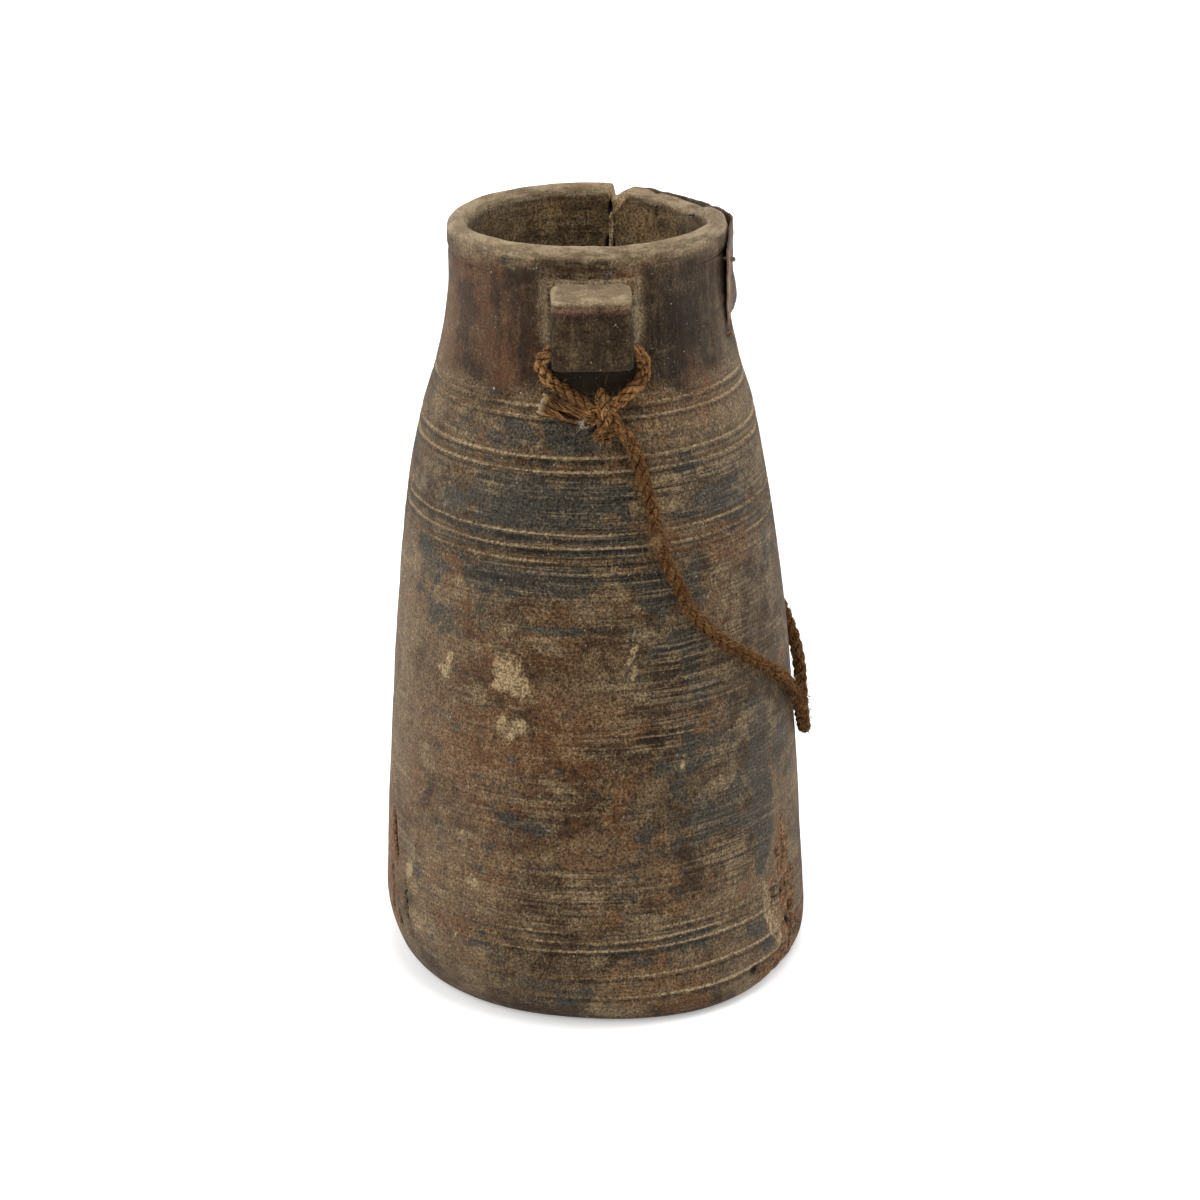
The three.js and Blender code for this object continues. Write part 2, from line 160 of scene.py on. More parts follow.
def patches(azimuth, z, table):
    """The strongest of a table of soft ovals, each given by its five numbers."""
    best = np.zeros(np.broadcast(azimuth, z).shape)
    for at, height, wide, tall, strength in table:
        best = np.maximum(best, strength * oval(azimuth, z, at, height, wide, tall))
    return best


def vectors(*parts):
    """Vectors from their parts, each of which is a number or an array."""
    return np.stack(np.broadcast_arrays(*parts), axis=-1)


def unit(long):
    """Vectors brought to a length of one."""
    return long / np.linalg.norm(long, axis=-1, keepdims=True)


def circle(count):
    """Even angles once round."""
    return 2 * np.pi * np.arange(count) / count


def swung(middle, reach, angle, first, second):
    """Points a reach off the middle, at an angle that turns from the first direction to the second."""
    return middle + (reach * np.cos(angle))[..., None] * first + (reach * np.sin(angle))[..., None] * second


def lattice_noise(points, cell, seed):
    """Noise from -1 to 1: seeded random values at the corners of cubes of that cell size, blended
    by the cubic 3t^2 - 2t^3 along each axis."""
    table = np.random.default_rng(seed).uniform(-1, 1, 8192)
    place = np.asarray(points, float) / cell
    low = np.floor(place).astype(np.int64)
    t = smooth(place - low, 0, 1)
    total = 0
    for corner in np.ndindex(2, 2, 2):
        at = low + np.array(corner)
        key = (at[..., 0] * 73856093) ^ (at[..., 1] * 19349663) ^ (at[..., 2] * 83492791)
        weight = np.prod(np.where(np.array(corner) == 1, t, 1 - t), axis=-1)
        total = total + weight * table[key % len(table)]
    return total


def fractal(points, cell, octaves, seed):
    """Octaves of the noise added up, each with half the cell and 0.55 of the height of the last."""
    heights = 0.55 ** np.arange(octaves)
    parts = [h * lattice_noise(points, cell / 2**k, seed + k) for k, h in enumerate(heights)]
    return sum(parts) / heights.sum()


OUTLINE = np.vstack([bezier(c, np.linspace(0, 1, 160)) for c in (HEEL, BODY, FLARE)])


def wall_radius(z):
    """Radius of the plain outer wall at a height, read off the Bezier stretches."""
    return np.interp(z, OUTLINE[:, 1], OUTLINE[:, 0])


def around(azimuth, z, radius):
    """Points at an azimuth, height and distance from the axis."""
    turn = np.radians(azimuth)
    return vectors(radius * np.cos(turn), radius * np.sin(turn), z)


def beside_wall(side, x, z, stand_off):
    """A point off the outer wall by X and height, at the front or the rear."""
    radius = wall_radius(z) + stand_off
    return vectors(x, side * np.sqrt(radius**2 - np.square(x)), z)


# Meshes
def ring_faces(rings, sides, closed=False):
    """Quads between neighbouring rings, each ring closed on itself, and the rings too if closed."""
    last = rings if closed else rings - 1
    row, side = np.meshgrid(np.arange(last), np.arange(sides), indexing="ij")
    after, beside = (row + 1) % rings * sides, (side + 1) % sides
    return vectors(row * sides + side, row * sides + beside, after + beside, after + side).reshape(-1, 4)


def with_poles(values):
    """Rows of values for ring points, given as (tubes, rings, sides, parts): each tube's rings, and
    then the mean of its first and of its last ring, for the poles that close its ends."""
    tubes, parts = len(values), values.shape[-1]
    ends = np.stack([values[:, 0].mean(1), values[:, -1].mean(1)], axis=1)
    return np.concatenate([values.reshape(tubes, -1, parts), ends], axis=1).reshape(-1, parts)


def tube_arrays(rings):
    """Points, quads and cap triangles of closed tubes: rings of shape (tubes, rings, sides, 3)."""
    tubes, count, sides = rings.shape[:3]
    pole = count * sides
    side = np.arange(sides)
    after = (side + 1) % sides
    last = pole - sides
    caps = np.vstack([vectors(after, side, pole), vectors(last + side, last + after, pole + 1)])
    shift = (np.arange(tubes) * (pole + 2))[:, None, None]
    quads = ring_faces(count, sides) + shift
    return with_poles(rings), quads.reshape(-1, 4), (caps + shift).reshape(-1, 3)


def joined(parts):
    """Several (points, quads, triangles, marks) as one."""
    points, *faces, marks = zip(*parts)
    starts = np.cumsum([0, *map(len, points[:-1])])
    quads, triangles = (np.vstack([f + s for f, s in zip(kind, starts)]) for kind in faces)
    return np.vstack(points), quads, triangles, {k: np.concatenate([m[k] for m in marks]) for k in marks[0]}


def mesh_object(name, points, quads, triangles, marks):
    """A smooth mesh at the origin. marks are numbers or vectors per point, kept as attributes. Faces
    are turned over where the volume inside them, the sum of a.(b x c)/6, comes out negative."""
    fans = np.vstack([quads[:, [0, 1, 2]], quads[:, [0, 2, 3]], triangles])
    a, b, c = (points[fans[:, k]] for k in range(3))
    if np.einsum("ij,ij->", a, np.cross(b, c)) < 0:
        quads, triangles = quads[:, ::-1], triangles[:, ::-1]
    mesh = bpy.data.meshes.new(name)
    mesh.vertices.add(len(points))
    mesh.vertices.foreach_set("co", points.astype(np.float32).ravel())
    corners = np.concatenate([quads.ravel(), triangles.ravel()]).astype(np.int32)
    mesh.loops.add(len(corners))
    mesh.loops.foreach_set("vertex_index", corners)
    starts = np.concatenate([np.arange(len(quads)) * 4, quads.size + np.arange(len(triangles)) * 3])
    mesh.polygons.add(len(starts))
    mesh.polygons.foreach_set("loop_start", starts.astype(np.int32))
    mesh.polygons.foreach_set("use_smooth", np.ones(len(starts), bool))
    mesh.update(calc_edges=True)
    for mark, values in marks.items():
        kind, field = ("FLOAT", "value") if values.ndim == 1 else ("FLOAT_VECTOR", "vector")
        held = mesh.attributes.new(mark, kind, "POINT")
        held.data.foreach_set(field, values.astype(np.float32).ravel())
    piece = bpy.data.objects.new(name, mesh)
    bpy.context.scene.collection.objects.link(piece)
    return piece


def finished(name, arrays, finish, node=None):
    """A piece that rides on the pot, with its material and the node it stands for."""
    piece = mesh_object(name, *arrays)
    if node:
        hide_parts(node)
    piece.data.materials.append(material(finish))
    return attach(piece, "root")


# Paths
def arc_lengths(path):
    """Distance along a path at each of its points."""
    return np.concatenate([[0], np.cumsum(np.linalg.norm(np.diff(path, axis=0), axis=1))])


def smooth_path(route, spacing):
    """Points about spacing apart on the centripetal Catmull-Rom curve through a route: the Barry and
    Goldman blend of four neighbours, with knots that grow by the square root of each step."""
    p = np.asarray(route, float)
    p = np.vstack([2 * p[0] - p[1], p, 2 * p[-1] - p[-2]])
    steps = np.sqrt(np.linalg.norm(np.diff(p, axis=0), axis=1))
    knots = np.concatenate([[0], np.cumsum(steps)])
    p0, p1, p2, p3 = (p[k:len(p) - 3 + k, None] for k in range(4))
    t0, t1, t2, t3 = (knots[k:len(p) - 3 + k, None, None] for k in range(4))
    t = t1 + (t2 - t1) * np.linspace(0, 1, 24, endpoint=False)[None, :, None]

    def blend(a, b, start, end):
        return (end - t) / (end - start) * a + (t - start) / (end - start) * b

    middle = blend(p1, p2, t1, t2)
    before = blend(blend(p0, p1, t0, t1), middle, t0, t2)
    after = blend(middle, blend(p2, p3, t2, t3), t1, t3)
    curve = np.vstack([blend(before, after, t1, t2).reshape(-1, 3), p[-2]])
    along = arc_lengths(curve)
    at = np.linspace(0, along[-1], max(3, int(round(along[-1] / spacing)) + 1))
    return vectors(*(np.interp(at, along, curve[:, k]) for k in range(3)))


def path_frame(path, away=None):
    """Unit vectors at each point of a path: along it, away from the pot's axis or near a direction
    that is given, and across both."""
    forward = unit(np.gradient(path, axis=0))
    away = path * np.array([1, 1, 0.0]) if away is None else np.broadcast_to(away, path.shape)
    away = unit(away - np.einsum("ij,ij->i", away, forward)[:, None] * forward)
    return forward, away, np.cross(forward, away)


def tube_rings(path, radius, sides, away=None):
    """Rings of a tube round a path. radius is a number for each ring and side."""
    _, first, second = path_frame(path, away)
    return swung(path[:, None], radius, circle(sides), first[:, None], second[:, None])


# Camera
def photo_camera():
    """The photograph's camera: 1.5 m from a point half way up the pot, 21 degrees above it."""
    target = Vector((0, 0, HEIGHT / 2))
    azimuth, elevation = math.radians(CAMERA_AZIMUTH), math.radians(CAMERA_ELEVATION)
    level = math.cos(elevation)
    away = Vector((math.cos(azimuth) * level, math.sin(azimuth) * level, math.sin(elevation)))
    data = bpy.data.cameras.new("photo_camera")
    data.sensor_width, data.lens = CAMERA_SENSOR, CAMERA_LENS
    data.shift_x, data.shift_y = CAMERA_SHIFT
    data.clip_start, data.clip_end = 0.05, 20
    camera = bpy.data.objects.new("photo_camera", data)
    look = (-away).to_track_quat("-Z", "Y").to_matrix().to_4x4()
    lean = Matrix.Rotation(math.radians(CAMERA_LEAN), 4, "Z")
    camera.matrix_world = Matrix.Translation(target + away * CAMERA_DISTANCE) @ look @ lean
    bpy.context.scene.collection.objects.link(camera)
    bpy.context.scene.camera = camera


# Ropes. The loops' points: X, drop below the bore's height, distance off the wall
LOOP_RIGHT = [
    (0.0095, 0.0273, 0.004), (0.015, 0.0232, 0.0038), (0.0213, 0.0176, 0.0039), (0.0227, 0.0122, 0.0046),
    (0.022, 0.0084, 0.0054),
]
LOOP_LEFT = [
    (-0.0218, 0.0084, 0.0054), (-0.0219, 0.0116, 0.0046), (-0.0188, 0.0168, 0.0039),
    (-0.0112, 0.0218, 0.0038), (-0.0005, 0.0286, 0.004),
]
# X and drop below the bore's height, on the bore's line
IN_BORE = [
    (0.0194, 0.0044), (0.015, 0.002), (0.009, 0.0011), (0, 0.0011), (-0.009, 0.0011), (-0.015, 0.002),
    (-0.0192, 0.0044),
]
# Round the knot: X, rise above the knot's middle, distance off the wall
KNOT_STRANDS = [
    [(0.0042, 0.0096, 0.0026), (0.0043, 0.007, 0.0064), (0.0047, 0.0005, 0.0076), (0.0053, -0.006, 0.0062)],
    [(-0.0036, 0.0036, 0.0036), (0.0015, 0.0026, 0.0042), (0.007, 0.0004, 0.0042), (0.011, -0.0032, 0.0036)],
    [(0.0104, 0.0056, 0.0036), (0.007, 0.0032, 0.004), (0.002, -0.0006, 0.004), (0.0008, -0.0036, 0.0038)],
]
STUB_ROUTE = [(0.0068, -0.0022, 0.0052), (0.0056, -0.0054, 0.0058), (0.0036, -0.01, 0.005)]
TAIL_ROUTE = [
    (0.001, 0.0004, 0.006), (-0.006, 0.0008, 0.0056), (-0.013, 0.0026, 0.0048), (-0.0232, 0.0054, 0.0043),
]
# Azimuth, height, slack off the wall
HANDLE_ROUTE = [
    (-83, 0.2845, 0.001), (-79.5, 0.28, 0.0004), (-77.2, 0.274, 0), (-75.3, 0.2655, 0), (-73.8, 0.256, 0),
    (-72.4, 0.246, 0), (-71.2, 0.235, 0), (-69.3, 0.2245, 0), (-66.3, 0.2135, 0), (-62.4, 0.2005, 0),
    (-57.4, 0.1895, 0), (-50.8, 0.1795, 0), (-42.3, 0.1693, 0), (-32.5, 0.1585, 0), (-23, 0.147, 0),
    (-14.5, 0.133, 0.0002), (-8.5, 0.1185, 0.0008), (-2, 0.109, 0.0012), (4.5, 0.1112, 0.0018),
    (8, 0.122, 0.0028), (9.8, 0.135, 0.0032), (13, 0.148, 0.0022), (19.5, 0.159, 0.0009),
    (29, 0.1685, 0.0002), (40, 0.1775, 0), (51, 0.1875, 0), (60, 0.1995, 0), (66, 0.2135, 0),
    (69.8, 0.228, 0), (72.4, 0.243, 0), (74.4, 0.257, 0), (76.4, 0.2685, 0), (79.5, 0.279, 0.0004),
    (83, 0.2845, 0.001),
]
STUB_RADIUS = 0.0048
STRAND_RADIUS = 0.49 * ROPE_RADIUS
YARN_RADIUS = 0.00042
HAIR_RADIUS = 0.00012


def loop_path(side):
    """From the knot up the right leg, through the lug's bore, and down the left leg to the knot."""
    hang, back = ([beside_wall(side, x, BORE_HEIGHT - drop, off) for x, drop, off in leg]
                  for leg in (LOOP_RIGHT, LOOP_LEFT))
    cross = [(x, side * BORE_DISTANCE, BORE_HEIGHT - drop) for x, drop in IN_BORE]
    return smooth_path([*hang, *cross, *back], ROPE_STEP)


def handle_path():
    """From the front knot down round the right side, up behind the pot and to the rear knot."""
    azimuth, z, slack = np.array(HANDLE_ROUTE).T
    return smooth_path(around(azimuth, z, wall_radius(z) + ROPE_RADIUS + ROPE_GAP + slack), ROPE_STEP)


def beside_knot(side, route):
    """A route round the knot, as a path."""
    return smooth_path([beside_wall(side, x, KNOT_HEIGHT + rise, off) for x, rise, off in route], ROPE_STEP)


def fibre_marks(turned, size, along, deep, tip):
    """What the fibre finish needs: lay is a place on a tube that is pressed to a quarter of its
    length, so that a pattern on it is drawn out along the fibres, deep is how far a point lies in
    the gaps, which the finish darkens as painted shade, and tip how near it is to a cut end."""
    turned, along, deep, tip = np.broadcast_arrays(turned, along, deep, tip)
    lay = vectors(size * np.cos(turned), size * np.sin(turned), 0.25 * along)
    numbers = with_poles(vectors(deep, tip))
    return {"lay": with_poles(lay), "deep": numbers[:, 0], "tip": numbers[:, 1]}


def rope_strands(path, seed):
    """Three strands laid round a path. Each strand's middle runs round the path once every lay, at
    0.52 of the rope's radius, and its own surface is ribbed by four yarns that turn the other way."""
    along = arc_lengths(path)
    _, away, across = path_frame(path)
    wobble = fractal(path + seed, 0.012, 2, seed)
    side = circle(STRAND_SIDES)
    yarn = side + 2 * np.pi * along[:, None] / (0.5 * ROPE_LAY)
    skin = vectors(2 * np.cos(side), 2 * np.sin(side), along[:, None] / 0.0014)
    rings = []
    for k in range(3):
        turn = 2 * np.pi * (along / ROPE_LAY + k / 3) + 0.5 * wobble
        reach = 0.52 * ROPE_RADIUS * (1 + 0.08 * lattice_noise(path + k, 0.005, seed + 7))
        size = STRAND_RADIUS * (1 + 0.11 * np.cos(4 * yarn) + 0.09 * lattice_noise(skin, 0.8, seed + k))
        rings.append(tube_rings(swung(path, reach, turn, away, across), size, STRAND_SIDES))
    rings = np.stack(rings)
    turned = yarn + np.arange(3)[:, None, None]
    out = np.linalg.norm(rings - path[:, None], axis=-1) / ROPE_RADIUS
    # Painted shade: darker where the surface sinks towards the rope's middle and between the yarns.
    deep = 0.8 * (1 - smooth(out, 0.55, 0.90)) + 0.22 * (1 - np.cos(4 * turned))
    return *tube_arrays(rings), fibre_marks(turned, STRAND_RADIUS, along[:, None] + 0.05 * seed, deep, 0.0)


def yarn_bundle(path, count, reach, waver, seed):
    """Loose yarns side by side along a path. Each keeps its own share of a spread that grows from
    the first reach to the second, sways by a sine of its way along, and is cut at its own length."""
    rng = np.random.default_rng(seed)
    length = arc_lengths(path)
    way = np.linspace(0, 1, YARN_RINGS)[None] * rng.uniform(0.86, 1, count)[:, None]
    middle, out, side = (
        vectors(*(np.interp(way, length / length[-1], field[:, k]) for k in range(3)))
        for field in (path, *path_frame(path)[1:])
    )
    first = rng.uniform(0, 2 * np.pi, count)[:, None]
    turn = first + 1.6 * way + waver * np.sin(8 * way + 3 * first)
    share = np.sqrt(rng.random(count))[:, None]
    spread = share * (reach[0] + (reach[1] - reach[0]) * way)
    middle = swung(middle, spread, turn, 0.85 * out, side)
    size = YARN_RADIUS * rng.uniform(0.7, 1.25, count)[:, None, None]
    angle = circle(YARN_SIDES)
    rings = swung(middle[:, :, None], size, angle, out[:, :, None], side[:, :, None])
    # Painted shade on yarns nearer the bundle's middle, plus a random darkness for each yarn.
    sunk = 0.7 * (1 - smooth(share, 0.3, 0.9)) + 0.5 * rng.random(count)[:, None]
    along = way * length[-1] + 0.01 * np.arange(count)[:, None]
    return *tube_arrays(rings), fibre_marks(
        angle + 5 * way[..., None], YARN_RADIUS, along[..., None], sunk[..., None], way[..., None])


def hair_arrays(starts, heads, length, curl, seed):
    """Thin three-sided fibres. Each leaves its start along its heading and bends by a constant turn:
    its points are start + s*heading + s^2*curl*side, where s grows along it, and it tapers to a tip."""
    rng = np.random.default_rng(seed)
    each = (len(starts), 1, 1)
    heads = unit(heads)
    bend = unit(np.cross(heads, rng.normal(size=heads.shape)))
    swing = np.cross(heads, bend)
    s = np.linspace(0, 1, HAIR_RINGS)[None, :, None]
    long = length * rng.uniform(0.4, 1.0, each)
    bow = curl * rng.uniform(-1, 1, each)
    wave = 0.35 * curl * rng.uniform(-1, 1, each)
    thick = HAIR_RADIUS * rng.uniform(0.6, 1.2, each) * (1 - 0.75 * s**2)
    way = s * heads[:, None] + bow * s**2 * bend[:, None] + wave * np.sin(4 * s) * swing[:, None]
    middle = (starts[:, None] + long * way)[:, :, None]
    rings = swung(middle, thick, circle(HAIR_SIDES), bend[:, None, None], swing[:, None, None])
    return *tube_arrays(rings), {}


def hair_roots(path, first, count, rng):
    """Random places on a path, from its point first on: points, ways along and away, and a way off it."""
    at = rng.integers(first, len(path), count)
    angle = rng.uniform(0, 2 * np.pi, count)
    forward, away, across = (field[at] for field in path_frame(path))
    return path[at], forward, away, swung(0, 1, angle, away, across)


def off_wall(heads, away):
    """Headings with what points at the pot's axis taken out of them."""
    return heads - np.minimum(np.einsum("ij,ij->i", heads, away), 0)[:, None] * away


def rope_hairs(path, count, length, seed):
    """Fibres that stand off a rope: each starts on its surface and points along the rope, turned
    outwards by a random share."""
    rng = np.random.default_rng(seed)
    start, forward, away, out = hair_roots(path, 0, count, rng)
    heads = np.where(rng.random(count) < 0.5, -1, 1)[:, None] * forward
    heads = heads + rng.uniform(0.1, 1.2, count)[:, None] * out
    heads += 0.5 * rng.normal(size=(count, 3))
    return hair_arrays(start + 0.8 * ROPE_RADIUS * out, off_wall(heads, away), length, 0.8, seed + 1)


def fanned_hairs(path, count, radius, length, seed):
    """Fine fibres that fan out of the last two thirds of a cut end."""
    rng = np.random.default_rng(seed)
    start, forward, away, out = hair_roots(path, len(path) // 3, count, rng)
    heads = forward + 0.45 * out + 0.25 * rng.normal(size=(count, 3))
    return hair_arrays(start + 0.75 * radius * out, off_wall(heads, away), length, 0.5, seed)


def fuzz_tuft(middle, out, count, spread, length, seed):
    """A tangle of curled fibres that sticks to the rope at one place."""
    rng = np.random.default_rng(seed)
    starts = middle + spread * rng.normal(size=(count, 3))
    heads = rng.normal(size=(count, 3)) + 0.5 * out
    return hair_arrays(starts, heads, length, 1.5, seed + 3)


def rope_piece(name, parts, finish="rope"):
    """Strands, yarns or stray fibres as one mesh."""
    return finished(name, joined(parts), finish)


def knot_parts(side, seed):
    """The knot: a bight over two crossing turns, each of three strands, and the blunt cut end."""
    parts = [rope_strands(beside_knot(side, route), seed + 10 * k) for k, route in enumerate(KNOT_STRANDS)]
    return [*parts, yarn_bundle(beside_knot(side, STUB_ROUTE), 90, (0.0036, 0.0046), 0.5, seed)]


def make_ropes():
    """All stretches of the one rope."""
    for label, side, seed in (("front", FRONT, 11), ("rear", REAR, 47)):
        path = loop_path(side)
        tail_path = beside_knot(side, TAIL_ROUTE)
        loop = rope_piece(f"{label}_rope_loop", [rope_strands(path, seed)])
        knot = rope_piece(f"{label}_rope_knot", knot_parts(side, seed + 1))
        tail = rope_piece(f"{label}_rope_tail", [
            yarn_bundle(tail_path, 95, (0.0026, 0.0046), 0.35, seed + 2)], "rope_tail")
        stray = rope_piece(f"{label}_knot_hairs", [
            rope_hairs(path, 130, 0.005, seed + 3),
            fanned_hairs(tail_path, 60, TAIL_RADIUS, 0.006, seed + 4),
            fanned_hairs(beside_knot(side, STUB_ROUTE), 40, STUB_RADIUS, 0.006, seed + 7),
            rope_hairs(beside_knot(side, KNOT_STRANDS[0]), 34, 0.009, seed + 5),
            rope_hairs(beside_knot(side, KNOT_STRANDS[1]), 34, 0.009, seed + 6),
        ], "rope_hair")
        fluff = beside_wall(side, -0.0048, KNOT_HEIGHT - 0.0014, 0.0086)
        bleached = rope_piece(f"{label}_bleached_tuft", [
            fuzz_tuft(fluff, np.array([0, side, 0.0]), 26, 0.0008, 0.003, seed + 8)], "bleached")
        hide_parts(f"rope_{label}_loop")
        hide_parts(f"rope_{label}_knot")
        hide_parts(f"rope_{label}_tail")
    path = handle_path()
    handle = rope_piece("rope_handle_laid", [rope_strands(path, 5)])
    _, away, _ = path_frame(path)
    tuft = int(0.116 * len(path))
    stray = rope_piece("handle_hairs", [
        rope_hairs(path, 2200, 0.0056, 71),
        rope_hairs(path[path[:, 0] < 0.094], 90, 0.0095, 75),
        fuzz_tuft(path[tuft] + 0.003 * away[tuft], away[tuft], 160, 0.0022, 0.009, 83),
    ], "rope_hair")
    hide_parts("rope_handle")


# Marks on the wood: azimuth, height, half width in degrees, half height, strength
DARK_PATCHES = [
    (-97, 0.28, 12, 0.008, 1), (-118, 0.279, 16, 0.007, 0.55), (-112, 0.244, 26, 0.018, 0.75),
    (-90, 0.252, 14, 0.014, 0.7), (-85, 0.232, 14, 0.01, 0.8), (-105, 0.214, 34, 0.007, 0.9),
    (-70, 0.212, 12, 0.012, 0.7), (-64, 0.176, 10, 0.026, 0.45), (-48, 0.244, 18, 0.01, 0.6),
    (-58, 0.262, 10, 0.006, 0.6), (-142, 0.184, 6, 0.016, 0.5), (-100, 0.1932, 18, 0.001, 0.85),
    (-150, 0.215, 12, 0.02, 0.35), (-38, 0.1, 5, 0.042, 1), (-58, 0.1, 18, 0.016, 0.45),
    (-66, 0.132, 14, 0.01, 0.5), (-108, 0.1, 9, 0.006, 0.45), (-72, 0.04, 16, 0.006, 0.5),
    (-42, 0.0335, 4, 0.004, 0.8), (-37, 0.024, 4, 0.005, 0.7), (-98, 0.018, 10, 0.008, 0.4),
    (-149, 0.325, 8, 0.022, 0.55), (-116, 0.322, 3.4, 0.02, 0.7), (-47, 0.318, 9, 0.011, 0.8),
    (-58, 0.33, 4, 0.012, 0.6), (-28, 0.225, 8, 0.016, 0.35), (-22, 0.13, 9, 0.028, 0.35),
    (-126, 0.048, 8, 0.008, 0.35), (-86, 0.072, 10, 0.01, 0.4), (20, 0.25, 18, 0.014, 0.6),
    (48, 0.215, 20, 0.012, 0.7), (85, 0.272, 16, 0.01, 0.8), (110, 0.24, 20, 0.016, 0.7),
    (140, 0.262, 16, 0.01, 0.6), (172, 0.235, 14, 0.012, 0.5), (60, 0.15, 16, 0.03, 0.6),
    (105, 0.165, 14, 0.026, 0.7), (150, 0.13, 18, 0.018, 0.6), (22, 0.08, 14, 0.02, 0.5),
    (125, 0.07, 14, 0.016, 0.6), (80, 0.06, 16, 0.012, 0.5), (120, 0.325, 14, 0.018, 0.6),
    (165, 0.315, 12, 0.02, 0.5), (30, 0.3, 14, 0.01, 0.4),
]
RUST_PATCHES = [
    (-124, 0.322, 3.2, 0.024, 1), (-165, 0.325, 7, 0.03, 0.7), (-118, 0.135, 22, 0.05, 0.75),
    (-104, 0.188, 16, 0.02, 0.6), (-104, 0.15, 12, 0.02, 0.8), (-128, 0.082, 14, 0.025, 0.6),
    (-96, 0.092, 16, 0.02, 0.45), (-148, 0.1, 14, 0.044, 0.6), (-165, 0.045, 8, 0.035, 1),
    (-88, 0.3, 6, 0.006, 0.3), (-21, 0.05, 4, 0.024, 0.35), (-60, 0.2, 8, 0.008, 0.4),
    (-36, 0.3, 8, 0.02, 0.3), (-96, 0.205, 20, 0.008, 0.5), (10, 0.17, 20, 0.03, 0.5),
    (75, 0.11, 18, 0.03, 0.7), (120, 0.2, 14, 0.026, 0.6), (165, 0.16, 16, 0.04, 0.6),
    (50, 0.04, 16, 0.02, 0.5), (140, 0.03, 18, 0.02, 0.6), (100, 0.31, 5, 0.024, 0.8),
    (150, 0.335, 6, 0.016, 0.6),
]
PALE_PATCHES = [
    (-150, 0.247, 11, 0.014, 0.55), (-160, 0.29, 7, 0.02, 0.6), (-38, 0.326, 6, 0.016, 0.5),
    (-70, 0.326, 5, 0.018, 0.7), (-30, 0.27, 9, 0.02, 0.5), (-24, 0.205, 7, 0.04, 0.55),
    (-62, 0.112, 20, 0.014, 0.3), (-84, 0.168, 12, 0.024, 0.3), (-140, 0.07, 14, 0.03, 0.5),
    (-148, 0.035, 14, 0.02, 0.6), (-80, 0.02, 24, 0.01, 0.4), (-112, 0.03, 18, 0.012, 0.4),
    (-84, 0.25, 12, 0.008, 0.5), (-96, 0.24, 10, 0.006, 0.5), (-130, 0.205, 14, 0.012, 0.3),
    (-158, 0.16, 8, 0.06, 0.4), (-50, 0.062, 14, 0.012, 0.3), (35, 0.13, 14, 0.03, 0.4),
    (90, 0.225, 14, 0.016, 0.5), (135, 0.1, 16, 0.03, 0.5), (170, 0.08, 14, 0.03, 0.5),
    (65, 0.028, 20, 0.012, 0.5), (155, 0.29, 12, 0.014, 0.5), (15, 0.215, 12, 0.02, 0.4),
]
CREAM_SPOTS = [
    (-116, 0.172, 4.4, 0.0084, 1), (-112.6, 0.166, 4, 0.0058, 1), (-118.5, 0.1655, 1.8, 0.0035, 1),
    (-117.5, 0.1475, 1.9, 0.0042, 1), (-112, 0.1472, 2.2, 0.0042, 1), (-114.6, 0.1425, 1.5, 0.0036, 1),
    (-136, 0.1715, 1.3, 0.005, 1), (-138, 0.1655, 2.4, 0.0035, 1), (-66.2, 0.1285, 1, 0.0026, 1),
    (-152.5, 0.058, 2.2, 0.005, 1), (-150, 0.05, 1.6, 0.0036, 1), (-126, 0.068, 2.6, 0.003, 1),
    (-130.2, 0.0895, 1.6, 0.0018, 1), (-146.2, 0.0335, 0.9, 0.0014, 1), (-131.6, 0.0395, 0.8, 0.003, 1),
    (-78.9, 0.1835, 0.8, 0.003, 1), (-80.2, 0.1785, 0.8, 0.0036, 1), (-79.5, 0.173, 1.1, 0.003, 1),
    (96, 0.145, 3.2, 0.006, 1), (101, 0.139, 2, 0.004, 1), (150, 0.19, 2.2, 0.005, 1),
]
TURNED_PATCHES = [
    (-56, 0.17, 22, 0.022, 1), (-70, 0.145, 24, 0.012, 0.8), (-86, 0.225, 40, 0.02, 1),
    (-62, 0.255, 26, 0.012, 1), (-92, 0.07, 60, 0.012, 0.6), (-130, 0.262, 20, 0.01, 0.5),
    (-50, 0.085, 22, 0.02, 0.6), (-120, 0.11, 26, 0.01, 0.5), (20, 0.19, 30, 0.03, 0.8),
    (90, 0.17, 40, 0.02, 0.8), (150, 0.22, 30, 0.02, 0.7), (60, 0.08, 50, 0.016, 0.6),
    (160, 0.09, 40, 0.02, 0.6), (110, 0.26, 40, 0.012, 0.6),
]
PITS = [
    (-43, 0.012, 2.1, 0.0032, 1), (-14.5, 0.016, 1.1, 0.005, 1), (-28.1, 0.0435, 0.8, 0.003, 1),
    (-20.3, 0.008, 0.8, 0.0026, 1), (-24.5, 0.026, 0.7, 0.004, 1),
]
BROKEN_PLACES = [
    (-25, 0.036, 5, 0.018, 1), (-27.5, 0.062, 3.4, 0.018, 0.95), (-34.5, 0.043, 2.6, 0.014, 0.75),
    (-28, 0.01, 12, 0.008, 0.95), (-19, 0.018, 3, 0.009, 0.7),
]
ORANGE_PLACES = [(-169, 0.064, 7, 0.046, 1), (-162, 0.034, 6, 0.02, 0.8)]

